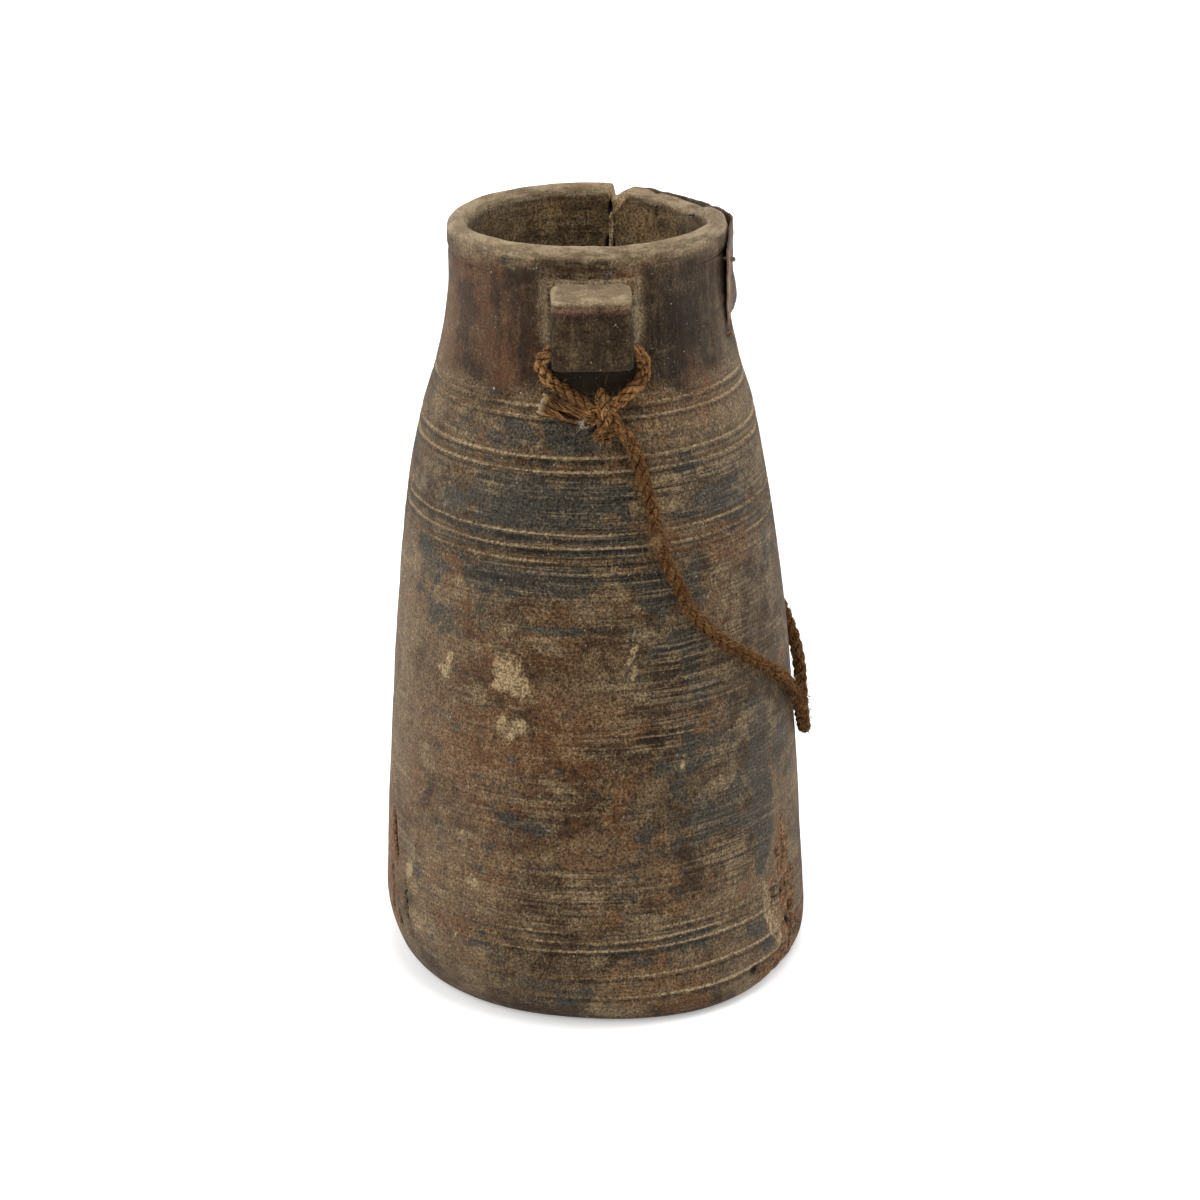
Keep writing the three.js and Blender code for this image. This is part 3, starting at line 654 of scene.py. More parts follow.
# Cracks: azimuth at the middle, lowest and highest point, half width, depth, degrees of lean a metre
CRACKS = [
    (-165.6, 0.048, 0.114, 0.0014, 0.0046, -160), (-154.5, 0.022, 0.06, 0.001, 0.0036, -110),
    (-165, 0.022, 0.066, 0.001, 0.0034, -90), (-158.5, 0.012, 0.034, 0.0008, 0.0028, -60),
    (-151, 0.085, 0.1, 0.0005, 0.0014, 0), (-25, 0.338, 0.352, 0.0004, 0.0014, 0),
    (100, 0.02, 0.062, 0.0009, 0.0008, 60), (168, 0.29, 0.33, 0.0006, 0.002, 0),
    (75.4, 0.318, 0.352, 0.0005, 0.0022, 0), (-22.3, 0.014, 0.034, 0.0017, 0.0054, 60),
    (132, 0.06, 0.12, 0.001, 0.0008, 80),
]
INNER_CRACKS = [
    (77, 0.3455, 0.354, 0.0007, 0.003, -200), (78.9, 0.318, 0.337, 0.0006, 0.0024, 0),
    (75, 0.318, 0.336, 0.0005, 0.0022, 0), (145, 0.342, 0.361, 0.0004, 0.0016, 0),
    (52, 0.345, 0.3575, 0.0007, 0.0026, -200), (-20, 0.26, 0.33, 0.0005, 0.0018, 0),
    (-120, 0.2, 0.3, 0.0005, 0.0018, 0),
]

# Where the vessel's columns lie closer together: azimuth, half width, how much closer
DENSE_PLACES = [
    (-159, 7, 2.2), (-28, 9, 1.9), (74, 8, 2.6), (52, 2, 1.4), (146, 2, 1), (-107.5, 3, 1.4),
    (-72.5, 3, 1.4), (107.5, 3, 1.2),
]


# Vessel
def crack_depth(azimuth, z, radius, table, seed):
    """Depth of the cracks at a point: each is a bell across a line that leans and wanders with height.
    It gapes more here and less there, and runs out towards its two ends."""
    deepest = np.zeros(np.broadcast(azimuth, z).shape)
    for k, (at, low, high, half, depth, lean) in enumerate(table):
        line = vectors(k, 0, z)
        wander = 0.0016 * fractal(line, 0.014, 4, seed + k)
        middle = at + lean * (z - (low + high) / 2)
        off = np.radians(turn_between(azimuth, middle)) * radius - wander
        share = np.clip((z - low) / (high - low), 0, 1)
        run_out = np.sqrt(np.clip(4 * share * (1 - share), 0, 1))
        gape = np.clip(0.80 + 0.9 * lattice_noise(line, 0.007, seed + 20 + k), 0.2, 1.4)
        deepest = np.maximum(deepest, depth * run_out * gape * np.exp(-((off / (half * gape)) ** 2)))
    return deepest


def column_azimuths(count):
    """Azimuths of the columns, closer together where the wall is cracked, chipped or notched: the
    running total of a density, read backwards at even steps."""
    azimuth = np.linspace(-180, 180, 7201)
    density = np.full_like(azimuth, 0.62)
    for at, half, extra in DENSE_PLACES:
        density += extra * hump(azimuth, at, half)
    total = np.concatenate([[0], np.cumsum((density[1:] + density[:-1]) / 2)])
    return np.interp(np.arange(count) / count * total[-1], total, azimuth)


def rim_drop(azimuth, outer=0.5):
    """How far the rim is worn or broken down below the full height. outer is 0 at the mouth and 1 at
    the outside, towards which the floor of the notch slopes down."""
    worn = 0.0042 * hump(azimuth, 36, 25) + 0.0010 * hump(azimuth, -8, 10)
    nicks = 0.0014 * hump(azimuth, 56, 2.4) + 0.0016 * hump(azimuth, 26, 3.0)
    ramp = np.clip((azimuth - 66.5) / 9.2, 0, 1) * smooth(azimuth, 77.0, 75.8)
    return worn + nicks + (0.0046 + 0.0020 * outer) * ramp


def damage(azimuth, z):
    """How strongly the wood is broken away at the heel on the right, from 0 to 1: soft ovals with
    edges that a fractal makes uneven."""
    whole = patches(azimuth, z, BROKEN_PLACES)
    uneven = 0.26 * fractal(around(azimuth, z * 0.7, 0.1), 0.006, 3, 44)
    return np.clip((whole + uneven * smooth(whole, 0.05, 0.3)) * 1.3, 0, 1)


def heel_fullness(azimuth, z):
    """How much further out the heel stands at the front right, where it is less rounded."""
    share = smooth(azimuth, -106, -52) * smooth(azimuth, 42, 5)
    return 0.0080 * share * smooth(z, 0.034, -0.004)


def groove_marks(azimuth, z):
    """Depth of the turned grooves at a point, the dust on their lower faces, whose palest edge is
    partly a painted highlight, and the painted shade just below them. Each groove is a V that wavers
    a little in height and is worn shallower here and there.
    Its dust thickens downwards and ends sharply at the lower edge."""
    deepest, dust, shade = np.zeros((3, *np.broadcast(azimuth, z).shape))
    for k, (height, depth, half) in enumerate(GROOVES):
        place = around(azimuth, 0.1 * k, 0.1)
        waver = 0.0004 * lattice_noise(place, 0.05, 300 + k)
        left = 0.84 + 0.16 * lattice_noise(place, 0.035, 330 + k)
        rise = (z - height - waver) / half
        strength = left * (1.0 if height > 0.1 else 0.80 + 0.25 * hump(azimuth, -58, 40))
        deepest = np.maximum(deepest, depth * left * np.clip(1 - np.abs(rise), 0, 1) ** 0.8)
        dust = np.maximum(dust, strength * smooth(rise, 2.6, -0.9) * smooth(rise, -1.2, -0.97))
        shade = np.maximum(shade, strength * smooth(rise, -1.2, -1.6) * smooth(rise, -4.0, -1.7))
    return deepest, dust, shade


def lip_line(azimuth, z):
    """The line cut under the lip, from 0 to 1. It wavers, and is worn away here and there."""
    place = around(azimuth, 0.9, 0.1)
    middle = LIP_LINE + 0.0003 * lattice_noise(place, 0.03, 350)
    return hump(z, middle, 0.0007) * np.clip(0.75 + 0.6 * lattice_noise(place, 0.02, 351), 0, 1)


def lug_fillet(azimuth, z, radius):
    """Wood left standing round a lug's root: a power of the distance to its outline."""
    x, y, _ = np.moveaxis(around(azimuth, z, radius), -1, 0)
    beside = np.maximum(np.abs(x) - LUG_WIDTH / 2, 0) / 0.0050
    above = np.where(z > LUG_TOP, (z - LUG_TOP) / 0.0055, np.maximum(LUG_FOOT - z, 0) / 0.0012)
    rise = 0.0030 * (1 - np.clip(np.hypot(beside, above), 0, 1)) ** 2.2
    return np.where(np.abs(y) > 0.03, rise, 0)


def outer_rows():
    """Heights of the outer wall's rows: closer at the heel, at each groove and at the lip's line."""
    plain = np.concatenate([np.arange(0.0012, 0.07, 0.0018), np.arange(0.07, 0.3465, 0.0030)])
    offsets = np.array([-1.7, -1.25, -0.95, -0.6, -0.25, 0.15, 0.6, 1.1, 1.8])
    cut = np.concatenate([height + offsets * half for height, _, half in GROOVES])
    centres = np.array([groove[0] for groove in GROOVES])
    clear = np.min(np.abs(plain[:, None] - centres), axis=1) > 0.0028
    return np.sort(np.concatenate([plain[clear], cut, [0.3446, 0.3456, 0.3462]]))


def vessel_section():
    """The turned section as radius, height and which stretch each point is on: 0 under the base,
    1 the outer wall, 2 the lip, 3 the hollow."""
    rows = outer_rows()
    half = (LIP_RADIUS - MOUTH_RADIUS) / 2
    turn = np.linspace(0, np.pi, 15)
    lip = vectors(MOUTH_RADIUS + half + half * np.cos(turn), HEIGHT - LIP_CROWN + LIP_CROWN * np.sin(turn))
    band = [(NECK_RADIUS + 0.3 * LIP_PROUD, HEIGHT - LIP_BAND), (LIP_RADIUS, HEIGHT - LIP_BAND + 0.0022),
            (LIP_RADIUS, HEIGHT - 0.0085)]
    corner_top = FLOOR_TOP + FLOOR_ROUND
    down = np.concatenate([np.linspace(0.3515, 0.30, 22), np.linspace(0.296, corner_top, 28)])
    thickness = BELLY_WALL + (NECK_WALL - BELLY_WALL) * smooth(down, BELLY_HEIGHT, BODY_TOP)
    inner = vectors(wall_radius(down) - thickness, down)
    bend = np.linspace(0, np.pi / 2, 8)[1:]
    corner = vectors(inner[-1, 0] - FLOOR_ROUND * (1 - np.cos(bend)), corner_top - FLOOR_ROUND * np.sin(bend))
    base = vectors([0.02, 0.045, 0.066, 0.078, FOOT_RADIUS], 0.0)
    floor = vectors([0.045, 0.03, 0.015, 0.005], FLOOR_TOP)
    stretches = [base, vectors(wall_radius(rows), rows), band, lip, inner, corner, floor]
    kinds = [0, 1, 2, 2, 3, 3, 3]
    return np.vstack(stretches), np.repeat(kinds, [len(s) for s in stretches])[:, None]


def vessel_wear(azimuth, z, radius):
    """What both the shape and the finish of the vessel need to know of each place."""
    wear = {
        "broken": damage(azimuth, z),
        "pits": patches(azimuth, z, PITS),
        "cracks": crack_depth(azimuth, z, radius, CRACKS, 80),
        "inner_cracks": crack_depth(azimuth, z, radius, INNER_CRACKS, 90),
        "line": lip_line(azimuth, z),
    }
    wear["depth"], wear["dust"], wear["shade"] = groove_marks(azimuth, z)
    return wear


def outer_relief(azimuth, z, radius, place, wear):
    """Lumps, dents, the heel's bulge, grooves, broken wood, pits and the lugs' fillets."""
    lumps = 0.0007 * fractal(place, 0.07, 2, 20) + 0.00024 * fractal(place, 0.010, 2, 24)
    lumps += 0.0013 * oval(azimuth, z, 175, 0.245, 60, 0.060)
    lumps -= 0.0010 * smooth(fractal(place, 0.022, 2, 28), 0.42, 0.8)
    bulge = 0.0008 * oval(azimuth, z, 2, 0.026, 24, 0.020)
    crumble = 0.5 + 0.5 * fractal(place * np.array([1, 1, 0.7]), 0.0045, 3, 40)
    gone = wear["broken"] * (0.0006 + 0.0036 * crumble) + 0.003 * wear["pits"]
    grooves = wear["depth"] * (1 - wear["broken"])
    return lumps * smooth(z, 0.0, 0.012) + bulge - grooves - gone + lug_fillet(azimuth, z, radius)


def vessel_points(azimuth, z, radius, kind, wear):
    """The vessel's surface. Every point of the section is moved along its own normal by the relief,
    cracks and tooling of its place, and the rim is pressed down by its wear."""
    tangent = unit(np.gradient(np.hstack([radius, z]), axis=0))
    place = around(azimuth, z, radius)
    lip = 0.0005 * fractal(place, 0.014, 3, 50) - 0.0002
    notched = smooth(azimuth, 63, 76) * (azimuth < 76.6)
    lip += notched * 0.0012 * fractal(place, 0.005, 2, 54)
    stroke = vectors(azimuth * 0.0012, z * 0.16, 0)
    tooling = 0.0007 * fractal(stroke, 0.009, 3, 60) + 0.0006 * fractal(place, 0.03, 2, 64)
    moved = np.where(kind == 1, outer_relief(azimuth, z, radius, place, wear), 0)
    moved -= np.where(kind <= 2, wear["cracks"] + 0.0006 * wear["line"], 0)
    moved -= np.where(kind >= 2, wear["inner_cracks"], 0)
    moved += np.where(kind == 2, lip, 0) + np.where(kind == 3, tooling * smooth(z, 0.02, 0.06), 0)
    press = np.clip((z - NECK_FOOT) / (HEIGHT - NECK_FOOT), 0, 1) ** 1.5
    outward = np.clip((radius - MOUTH_RADIUS) / (LIP_RADIUS - MOUTH_RADIUS), 0, 1)
    drop = rim_drop(azimuth, outward) + 0.0003 * lattice_noise(around(azimuth, 0, 0.06), 0.012, 57)
    fuller = np.where(kind <= 1, heel_fullness(azimuth, z) * smooth(radius, 0.06, FOOT_RADIUS), 0)
    new_radius = np.minimum(radius + moved * tangent[:, 1:] + fuller, WIDEST)
    new_z = np.minimum(z - moved * tangent[:, :1], HEIGHT) - press * drop
    hollow_foot = 0.0012 * (1 - np.minimum(radius / FOOT_RADIUS, 1) ** 2)
    return around(azimuth, np.where(kind == 0, hollow_foot, np.maximum(new_z, 0)), new_radius)


def torn_slope(azimuth, z):
    """The pale wood inside the notch, from 0 to 1: a patch as wide as the notch, which narrows
    downwards to a strip."""
    right = 75.6 - 8.0 * smooth(z, 0.3465, 0.3570)
    return smooth(azimuth, 78.4, 77.2) * smooth(azimuth, right - 0.7, right + 0.7) * smooth(z, 0.324, 0.334)


def vessel_marks(azimuth, z, radius, kind, wear):
    """What the finish needs to know of each place, as numbers from 0 to 1."""
    x = np.abs(radius * np.cos(np.radians(azimuth)))
    # Painted shade: the wall just under each lug is darkened in the finish.
    shade_under_lug = smooth(x, 0.0205, 0.0165) * smooth(z, 0.2950, 0.2985) * smooth(z, 0.3135, 0.3110)
    above_lug = smooth(x, 0.024, 0.014) * smooth(z, 0.3440, 0.3465) * smooth(z, 0.3535, 0.3490)
    beside_lug = smooth(x, 0.0255, 0.0200) * smooth(z, 0.3130, 0.3200) * smooth(z, 0.3535, 0.3490)
    chip = np.minimum(1.5 * oval(azimuth, z, -34.5 + 200 * (0.036 - z), 0.037, 2.9, 0.019), 1)
    neck = smooth(z, 0.292, 0.302) * smooth(z, 0.3535, 0.3490)
    neck = neck * (1 - 0.8 * hump(turn_between(azimuth, -172), 0, 12)) * (1 - 0.5 * hump(azimuth, -22, 8))
    outside = {
        "char": patches(azimuth, z, DARK_PATCHES),
        "rust": patches(azimuth, z, RUST_PATCHES),
        "pale": patches(azimuth, z, PALE_PATCHES) + 0.9 * above_lug + 0.7 * beside_lug,
        "turned": patches(azimuth, z, TURNED_PATCHES),
        "cream": patches(azimuth, z, CREAM_SPOTS),
        "groove": wear["dust"],
        "shadow": np.maximum(wear["shade"], 0.8 * wear["line"]),
        "raw": np.maximum(wear["broken"], 0.7 * patches(azimuth, z, ORANGE_PLACES)) * (1 - chip),
        "painted_shade_under_lug": shade_under_lug,
        "chip": chip,
        "pits": wear["pits"],
    }
    marks = {key: np.where(kind == 1, value, 0) for key, value in outside.items()}
    crack = np.maximum(np.where(kind <= 2, wear["cracks"], 0), np.where(kind >= 2, wear["inner_cracks"], 0))
    # The crack mark also carries the pits; the finish fills both in near-black as painted shade.
    marks["crack"] = np.clip(crack / 0.0020 + marks.pop("pits"), 0, 1)
    marks["chip"] += np.where(kind >= 2, 0.8 * torn_slope(azimuth, z), 0)
    marks["wine"] = np.where(kind <= 2, neck * (1 - above_lug) * (1 - 0.8 * beside_lug), 0)
    marks["lip"] = (0.32 * smooth(z, 0.3465, 0.3490) + 0.68 * smooth(z, 0.3530, 0.3580)) * (kind == 2)
    marks["hollow"] = np.where(kind == 3, smooth(z, 0.3585, 0.3480), 0)
    return {key: np.broadcast_to(value, crack.shape) for key, value in marks.items()}


def make_vessel():
    """The pot's turned and hollowed log."""
    section, kind = vessel_section()
    azimuth = column_azimuths(VESSEL_COLUMNS)
    radius, z = section[:, :1], section[:, 1:]
    wear = vessel_wear(azimuth, z, radius)
    arrays = tube_arrays(vessel_points(azimuth, z, radius, kind, wear)[None])
    marks = vessel_marks(azimuth, z, radius, kind, wear)
    marks = {key: with_poles(value[None, ..., None])[:, 0] for key, value in marks.items()}
    finished("carved_vessel", (*arrays, marks), "old_wood", "pot_body")


# Lugs
def lug_outline(angle):
    """Distance from the bore's middle to the lug's outline at an angle in the plane across the bore:
    the nearest of the lines of its front, sloping top, foot and root, with the corners eased by a
    sum of their inverse powers."""
    out, up = np.cos(angle), np.sin(angle)
    lines = [
        (out, NECK_RADIUS + LUG_REACH - BORE_DISTANCE), (up, LUG_TOP - BORE_HEIGHT),
        (-up, BORE_HEIGHT - LUG_FOOT), (-out, BORE_DISTANCE - LUG_ROOT),
        (0.31 * out + 0.951 * up, 0.0243), (0.995 * out + 0.1 * up, 0.0124), (0.76 * out + 0.65 * up, 0.0226),
    ]
    return sum((np.maximum(along, 1e-6) / reach) ** 14 for along, reach in lines) ** (-1 / 14)


def lug_points(side, seed):
    """A lug as a ring round its bore. One angle goes round the bore's axis. The other goes through
    the wood: along the bore, out over one end face, back along the outside and in over the other
    face, as a superellipse between the bore's wall and the lug's outline."""
    round_bore, through = circle(LUG_ROUNDS)[:, None], circle(LUG_THROUGH)
    wide, deep = (np.sign(part) * np.abs(part) ** 0.36 for part in (np.cos(through), np.sin(through)))
    inner = BORE_RADIUS + 0.0016 * np.abs(wide) ** 10
    reach = inner + (lug_outline(round_bore) - inner) * (deep + 1) / 2
    out = BORE_DISTANCE + reach * np.cos(round_bore)
    z = BORE_HEIGHT + reach * np.sin(round_bore)
    points = vectors(wide * LUG_WIDTH / 2, side * out, z)
    lumps = 0.0009 * fractal(points + seed, 0.016, 4, seed)
    ray = unit(points - np.array([0, side * BORE_DISTANCE, BORE_HEIGHT]))
    return points - (0.0004 + np.abs(lumps))[..., None] * ray * (deep > -0.5)[..., None], out, z


def make_lug(name, side, seed):
    """One carrying lug with its bore."""
    points, out, z = lug_points(side, seed)
    shoulder = smooth(z, 0.3375, 0.3425)
    front = smooth(out, 0.0755, 0.0800) * (1 - shoulder)
    edge = np.abs(points[..., 0]) / (LUG_WIDTH / 2)
    # Painted highlight: a line along the lug's upper front edge, which also gets some rust.
    painted_highlight_ridge = hump(points[..., 2], 0.3378, 0.0014) * smooth(np.abs(points[..., 1]), 0.0755, 0.0800)
    marks = {
        "char": 0.20 * front + 0.35 * smooth(edge, 0.9, 1.0) * (1 - shoulder),
        "rust": 0.6 * smooth(edge, 0.3, 0.9) * front + 0.5 * painted_highlight_ridge,
        "wine": (1 - shoulder) * (1 - 0.10 * front),
        "pale": np.maximum(shoulder, 0.30 * front),
        "lip": shoulder,
        "painted_highlight_ridge": painted_highlight_ridge,
        # Painted shade on the lug's lowest few millimetres and its underside.
        "painted_shade_under_lug": smooth(LUG_FOOT + 0.003 - z, 0, 0.003),
    }
    marks = {key: value.ravel() for key, value in marks.items()}
    quads = ring_faces(LUG_ROUNDS, LUG_THROUGH, closed=True)
    finished(name, (points.reshape(-1, 3), quads, NO_TRIANGLES, marks), "old_wood")


# Sheet repair and nails: name, azimuth, height, depth in the wall, and of the bent ones if over the sheet
NAILS = [
    ("sheet_nail_through", 24, 0.353, 0.0125), ("sheet_nail_back_upper", 59, 0.352, 0.0065),
    ("sheet_nail_middle_lower", 24, 0.321, 0.0065), ("sheet_nail_back_lower", 59, 0.322, 0.0065),
]
CLENCHED = [
    ("clenched_nail_upper", -15.5, 0.3425, 0.0065, True),
    ("clenched_nail_lower", -18.5, 0.309, 0.0065, False),
]
# Hammered head: share of its radius, rise above the seat
NAIL_HEAD = [(0.7, 0), (0.97, 0.0001), (1, 0.0004), (0.86, 0.0008), (0.5, 0.00105), (0.15, 0.0011)]


def sheet_front(z):
    """Azimuth of the sheet's free edge: it leans forward as it rises, and its upper corner is cut back."""
    share = np.clip((z - SHEET_TOP) / 0.012 + 1, 0, 1)
    lean = np.clip((z - SHEET_TOP) / SHEET_LENGTH + 1, 0, 1)
    return SHEET_FRONT + 1.2 - 4.4 * lean + 22 * share**2


def sheet_foot(azimuth):
    """Height of the sheet's lower edge, which comes down to a tip at the free edge."""
    share = np.clip(1 - (azimuth - SHEET_FRONT) / 16, 0, 1)
    return SHEET_TOP - SHEET_LENGTH - 0.0045 * share**2


def sheet_radius(azimuth, z):
    """Radius of the sheet's inner face, which is lifted at the free edge, and buckled below."""
    edge = np.clip(1 - (azimuth - SHEET_FRONT) / 12, 0, 1)
    buckle = 0.0024 * hump(azimuth, 1, 8) * hump(z, SHEET_TOP - 0.034, 0.009)
    return LIP_RADIUS + SEAT_GAP + 0.0016 * edge**2 + buckle


def sheet_places(across, down):
    """Azimuth and height of each point of the sheet, with an uneven edge, and its plain place."""
    z = SHEET_TOP - down * SHEET_LENGTH * np.ones_like(across)
    for _ in range(3):
        azimuth = sheet_front(z) + (SHEET_BACK - sheet_front(z)) * across
        top = SHEET_TOP - 0.42 * rim_drop(np.minimum(azimuth, 62))
        z = top + (sheet_foot(azimuth) - top) * down
    flat = around(azimuth, z, LIP_RADIUS)
    ragged = 0.0009 * fractal(flat, 0.006, 3, 120)
    ends = (1 - smooth(across, 0, 0.02)) + smooth(across, 0.98, 1)
    rim = (1 - smooth(down, 0, 0.05)) + smooth(down, 0.95, 1)
    return azimuth + np.degrees(ragged / LIP_RADIUS) * ends, z + ragged * rim * 0.8, flat


def make_sheet():
    """The thin iron sheet: a grid by azimuth and height over the neck, with dents that die out at
    the nails, and both faces made from the one surface by its thickness."""
    across = np.linspace(0, 1, SHEET_COLUMNS)[:, None]
    down = np.linspace(0, 1, SHEET_ROWS)[None]
    azimuth, z, flat = sheet_places(across, down)
    quiet = np.ones_like(z)
    for _, at, height, _ in NAILS:
        quiet *= 1 - oval(azimuth, z, at, height, 5, 0.005)
    dents = 0.0011 * fractal(flat, 0.014, 2, 130) + 0.0004 * fractal(flat, 0.005, 2, 134)
    creases = 0.0008 * (1 - np.abs(lattice_noise(flat * np.array([1, 1, 0.4]), 0.011, 138))) ** 3
    radius = sheet_radius(azimuth, z) + quiet * np.clip(dents + creases, -0.0001, 0.0016)
    inner, outer = around(azimuth, z, radius), around(azimuth, z, radius + SHEET_THICKNESS)
    side = np.arange(SHEET_ROWS - 1)
    strip = vectors(side, side + 1, 2 * SHEET_ROWS - 2 - side, 2 * SHEET_ROWS - 1 - side)
    far_strip = strip[:, ::-1] + (SHEET_COLUMNS - 1) * 2 * SHEET_ROWS
    quads = np.vstack([ring_faces(SHEET_COLUMNS, 2 * SHEET_ROWS), strip, far_strip])
    edge = np.minimum(np.minimum(down, 1 - down) * 0.045, np.minimum(across, 1 - across) * 0.10)
    marks = {
        "edge": np.exp(-edge / 0.0016),
        "free_edge": np.exp(-across / 0.03) * smooth(down, 0.10, 0.35),
        "torn": hump(across, 0.010, 0.009) * smooth(down, 0.42, 0.55) * smooth(down, 0.97, 0.86),
    }
    marks = {key: np.hstack([value, value[:, ::-1]]).ravel() for key, value in marks.items()}
    points = np.concatenate([outer, inner[:, ::-1]], axis=1).reshape(-1, 3)
    arrays = (points, quads, NO_TRIANGLES, marks)
    finished("patch_sheet", arrays, "rusty_sheet", "repair_sheet")


def set_in_wall(out, along, up, azimuth, z):
    """Points given as distance from the pot's axis, along the wall and up, set at an azimuth and height."""
    turn = np.radians(azimuth)
    cos, sin = np.cos(turn), np.sin(turn)
    return vectors(out * cos - along * sin, out * sin + along * cos, up + z)


def make_nail(name, azimuth, z, depth, seed):
    """A hand-made nail: a shank with a point, and a hammered head. Its section is turned round a
    line that points away from the pot's axis, and its radius varies by a fractal."""
    seat = sheet_radius(azimuth, z) + SHEET_THICKNESS + SEAT_GAP
    tip = wall_radius(z) - depth
    shank = [(0.0001, tip), (0.5 * SHANK, tip + 0.001), (SHANK, tip + 0.0025), (SHANK, (tip + seat) / 2),
             (SHANK, seat - 0.0002)]
    head = [(HEAD * share, seat + rise) for share, rise in NAIL_HEAD]
    size, out = np.array([*shank, *head]).T[..., None]
    turn = circle(NAIL_SIDES)
    ray = vectors(np.cos(turn), np.sin(turn), out * 300)
    size = size * (0.94 - 0.10 * np.abs(fractal(ray + seed, 0.8, 2, seed)))
    rings = set_in_wall(out, size * np.cos(turn), size * np.sin(turn), azimuth, z)
    finished(name + "_forged", (*tube_arrays(rings[None]), {}), "nail_iron", name)


def make_clenched(name, azimuth, z, depth, over_sheet, seed):
    """A nail bent flat: a square shank along a path out of the wall and over, thinned to its point."""
    surface = sheet_radius(azimuth, z) + SHEET_THICKNESS if over_sheet else wall_radius(z)
    out = surface + SEAT_GAP + SHANK
    inner = wall_radius(z) - depth
    local = np.array([
        (inner, 0, 0), (inner + 0.0025, 0, 0), (out - 0.0015, 0, 0), (out, 0.0011, -0.00036),
        (out, 0.0033, -0.00108), (out, 0.0055, -0.0018),
    ])
    path = smooth_path(set_in_wall(*local.T, azimuth, z), 0.00035)
    turn = circle(CLENCHED_SIDES)
    square = (np.abs(np.cos(turn)) ** 4 + np.abs(np.sin(turn)) ** 4) ** -0.25 * 0.86
    share = np.linspace(0, 1, len(path))[:, None]
    taper = 1 + 0.45 * smooth(share, 0.50, 0.62) - 0.55 * smooth(share, 0.80, 1)
    rough = 1 - 0.12 * np.abs(fractal(vectors(np.cos(turn), np.sin(turn), share * 12), 0.7, 2, seed))
    rings = tube_rings(path, SHANK * taper * square * rough, CLENCHED_SIDES, (0, 0, 1.0))
    finished(name + "_bent", (*tube_arrays(rings[None]), {}), "nail_iron", name)


# Materials
class Paint:
    """A material's nodes, with a short call for each kind that the finishes use, and the colour so far."""

    def __init__(self, name):
        self.material = bpy.data.materials.new(name)
        self.material.use_nodes = True
        self.nodes, self.links = self.material.node_tree.nodes, self.material.node_tree.links
        self.shader = self.nodes["Principled BSDF"]
        self.place = self.nodes.new("ShaderNodeTexCoord").outputs["Object"]

    def put(self, socket, value):
        """Sets a socket to a number or colour, or links it to another node's output."""
        if isinstance(value, bpy.types.NodeSocket):
            self.links.new(value, socket)
        elif isinstance(value, tuple) and len(value) == 3 and socket.type == "RGBA":
            socket.default_value = (*value, 1)
        else:
            socket.default_value = value

    def node(self, kind, inputs, output, **settings):
        """The output of a new node, with its settings and inputs, by name or number."""
        node = self.nodes.new("ShaderNode" + kind)
        for name, value in settings.items():
            setattr(node, name, value)
        for key, value in inputs.items():
            self.put(node.inputs[key], value)
        return node.outputs[output]

    def mark(self, name, output="Fac"):
        """A number or vector that the mesh holds for each point."""
        return self.node("Attribute", {}, output, attribute_name=name)

    def stretched(self, up, level=1):
        """The place scaled upwards and on the level, so that a pattern is longer one way."""
        return self.node("Mapping", {"Scale": (level, level, up), "Vector": self.place}, "Vector")

    def noise(self, scale, detail=4.0, rough=0.6, source=None, warp=0.0):
        """Cloudy noise, scale per metre."""
        return self.node("TexNoise", {
            "Scale": scale, "Detail": detail, "Roughness": rough, "Distortion": warp,
            "Vector": source or self.place}, "Fac")

    def threads(self, scale, width, source=None):
        """1 on thin winding lines, where cloudy noise passes its middle value, and 0 off them."""
        cloudy = self.noise(scale, 2.0, 0.5, source, warp=0.8)
        return self.span(self.math("ABSOLUTE", self.math("SUBTRACT", cloudy, 0.5), 0.0), width, 0.25 * width)

    def span(self, value, low, high, start=0.0, end=1.0):
        """value moved from the range low to high onto start to end, and kept within it."""
        return self.node("MapRange", {
            "Value": value, "From Min": low, "From Max": high, "To Min": start, "To Max": end,
        }, "Result", interpolation_type="SMOOTHSTEP")

    def math(self, kind, a, b):
        """One arithmetic step."""
        return self.node("Math", {0: a, 1: b}, "Value", operation=kind)

    def times(self, a, b):
        """a times b."""
        return self.math("MULTIPLY", a, b)

    def plus(self, name, pattern, share):
        """A mark with a share of a pattern added, which breaks up its edge."""
        return self.math("ADD", self.mark(name), self.times(pattern, share))

    def most(self, a, b):
        """The larger of a and b."""
        return self.math("MAXIMUM", a, b)

    def swing(self, pattern, size):
        """A pattern moved to lie about 0, and scaled."""
        return self.times(self.math("SUBTRACT", pattern, 0.5), size)

    def mix(self, share, under, over, kind="MIX"):
        """Two colours mixed by a share."""
        return self.node("Mix", {"Factor": share, 6: under, 7: over}, 2, data_type="RGBA", blend_type=kind)

    def lay(self, share, over):
        """Lays a colour over the colour so far."""
        self.color = self.mix(share, self.color, over)

    def bump(self, height, distance, strength, under=None):
        """A surface normal from a height, distance in metres for a height of one."""
        inputs = {"Strength": strength, "Distance": distance, "Height": height}
        if under is not None:
            inputs["Normal"] = under
        return self.node("Bump", inputs, "Normal")

    def shade(self, roughness, **inputs):
        """The material, with the colour so far, a roughness and other inputs of the shader."""
        for name, value in {"Base_Color": self.color, "Roughness": roughness, **inputs}.items():
            self.put(self.shader.inputs[name.replace("_", " ")], value)
        return self.material


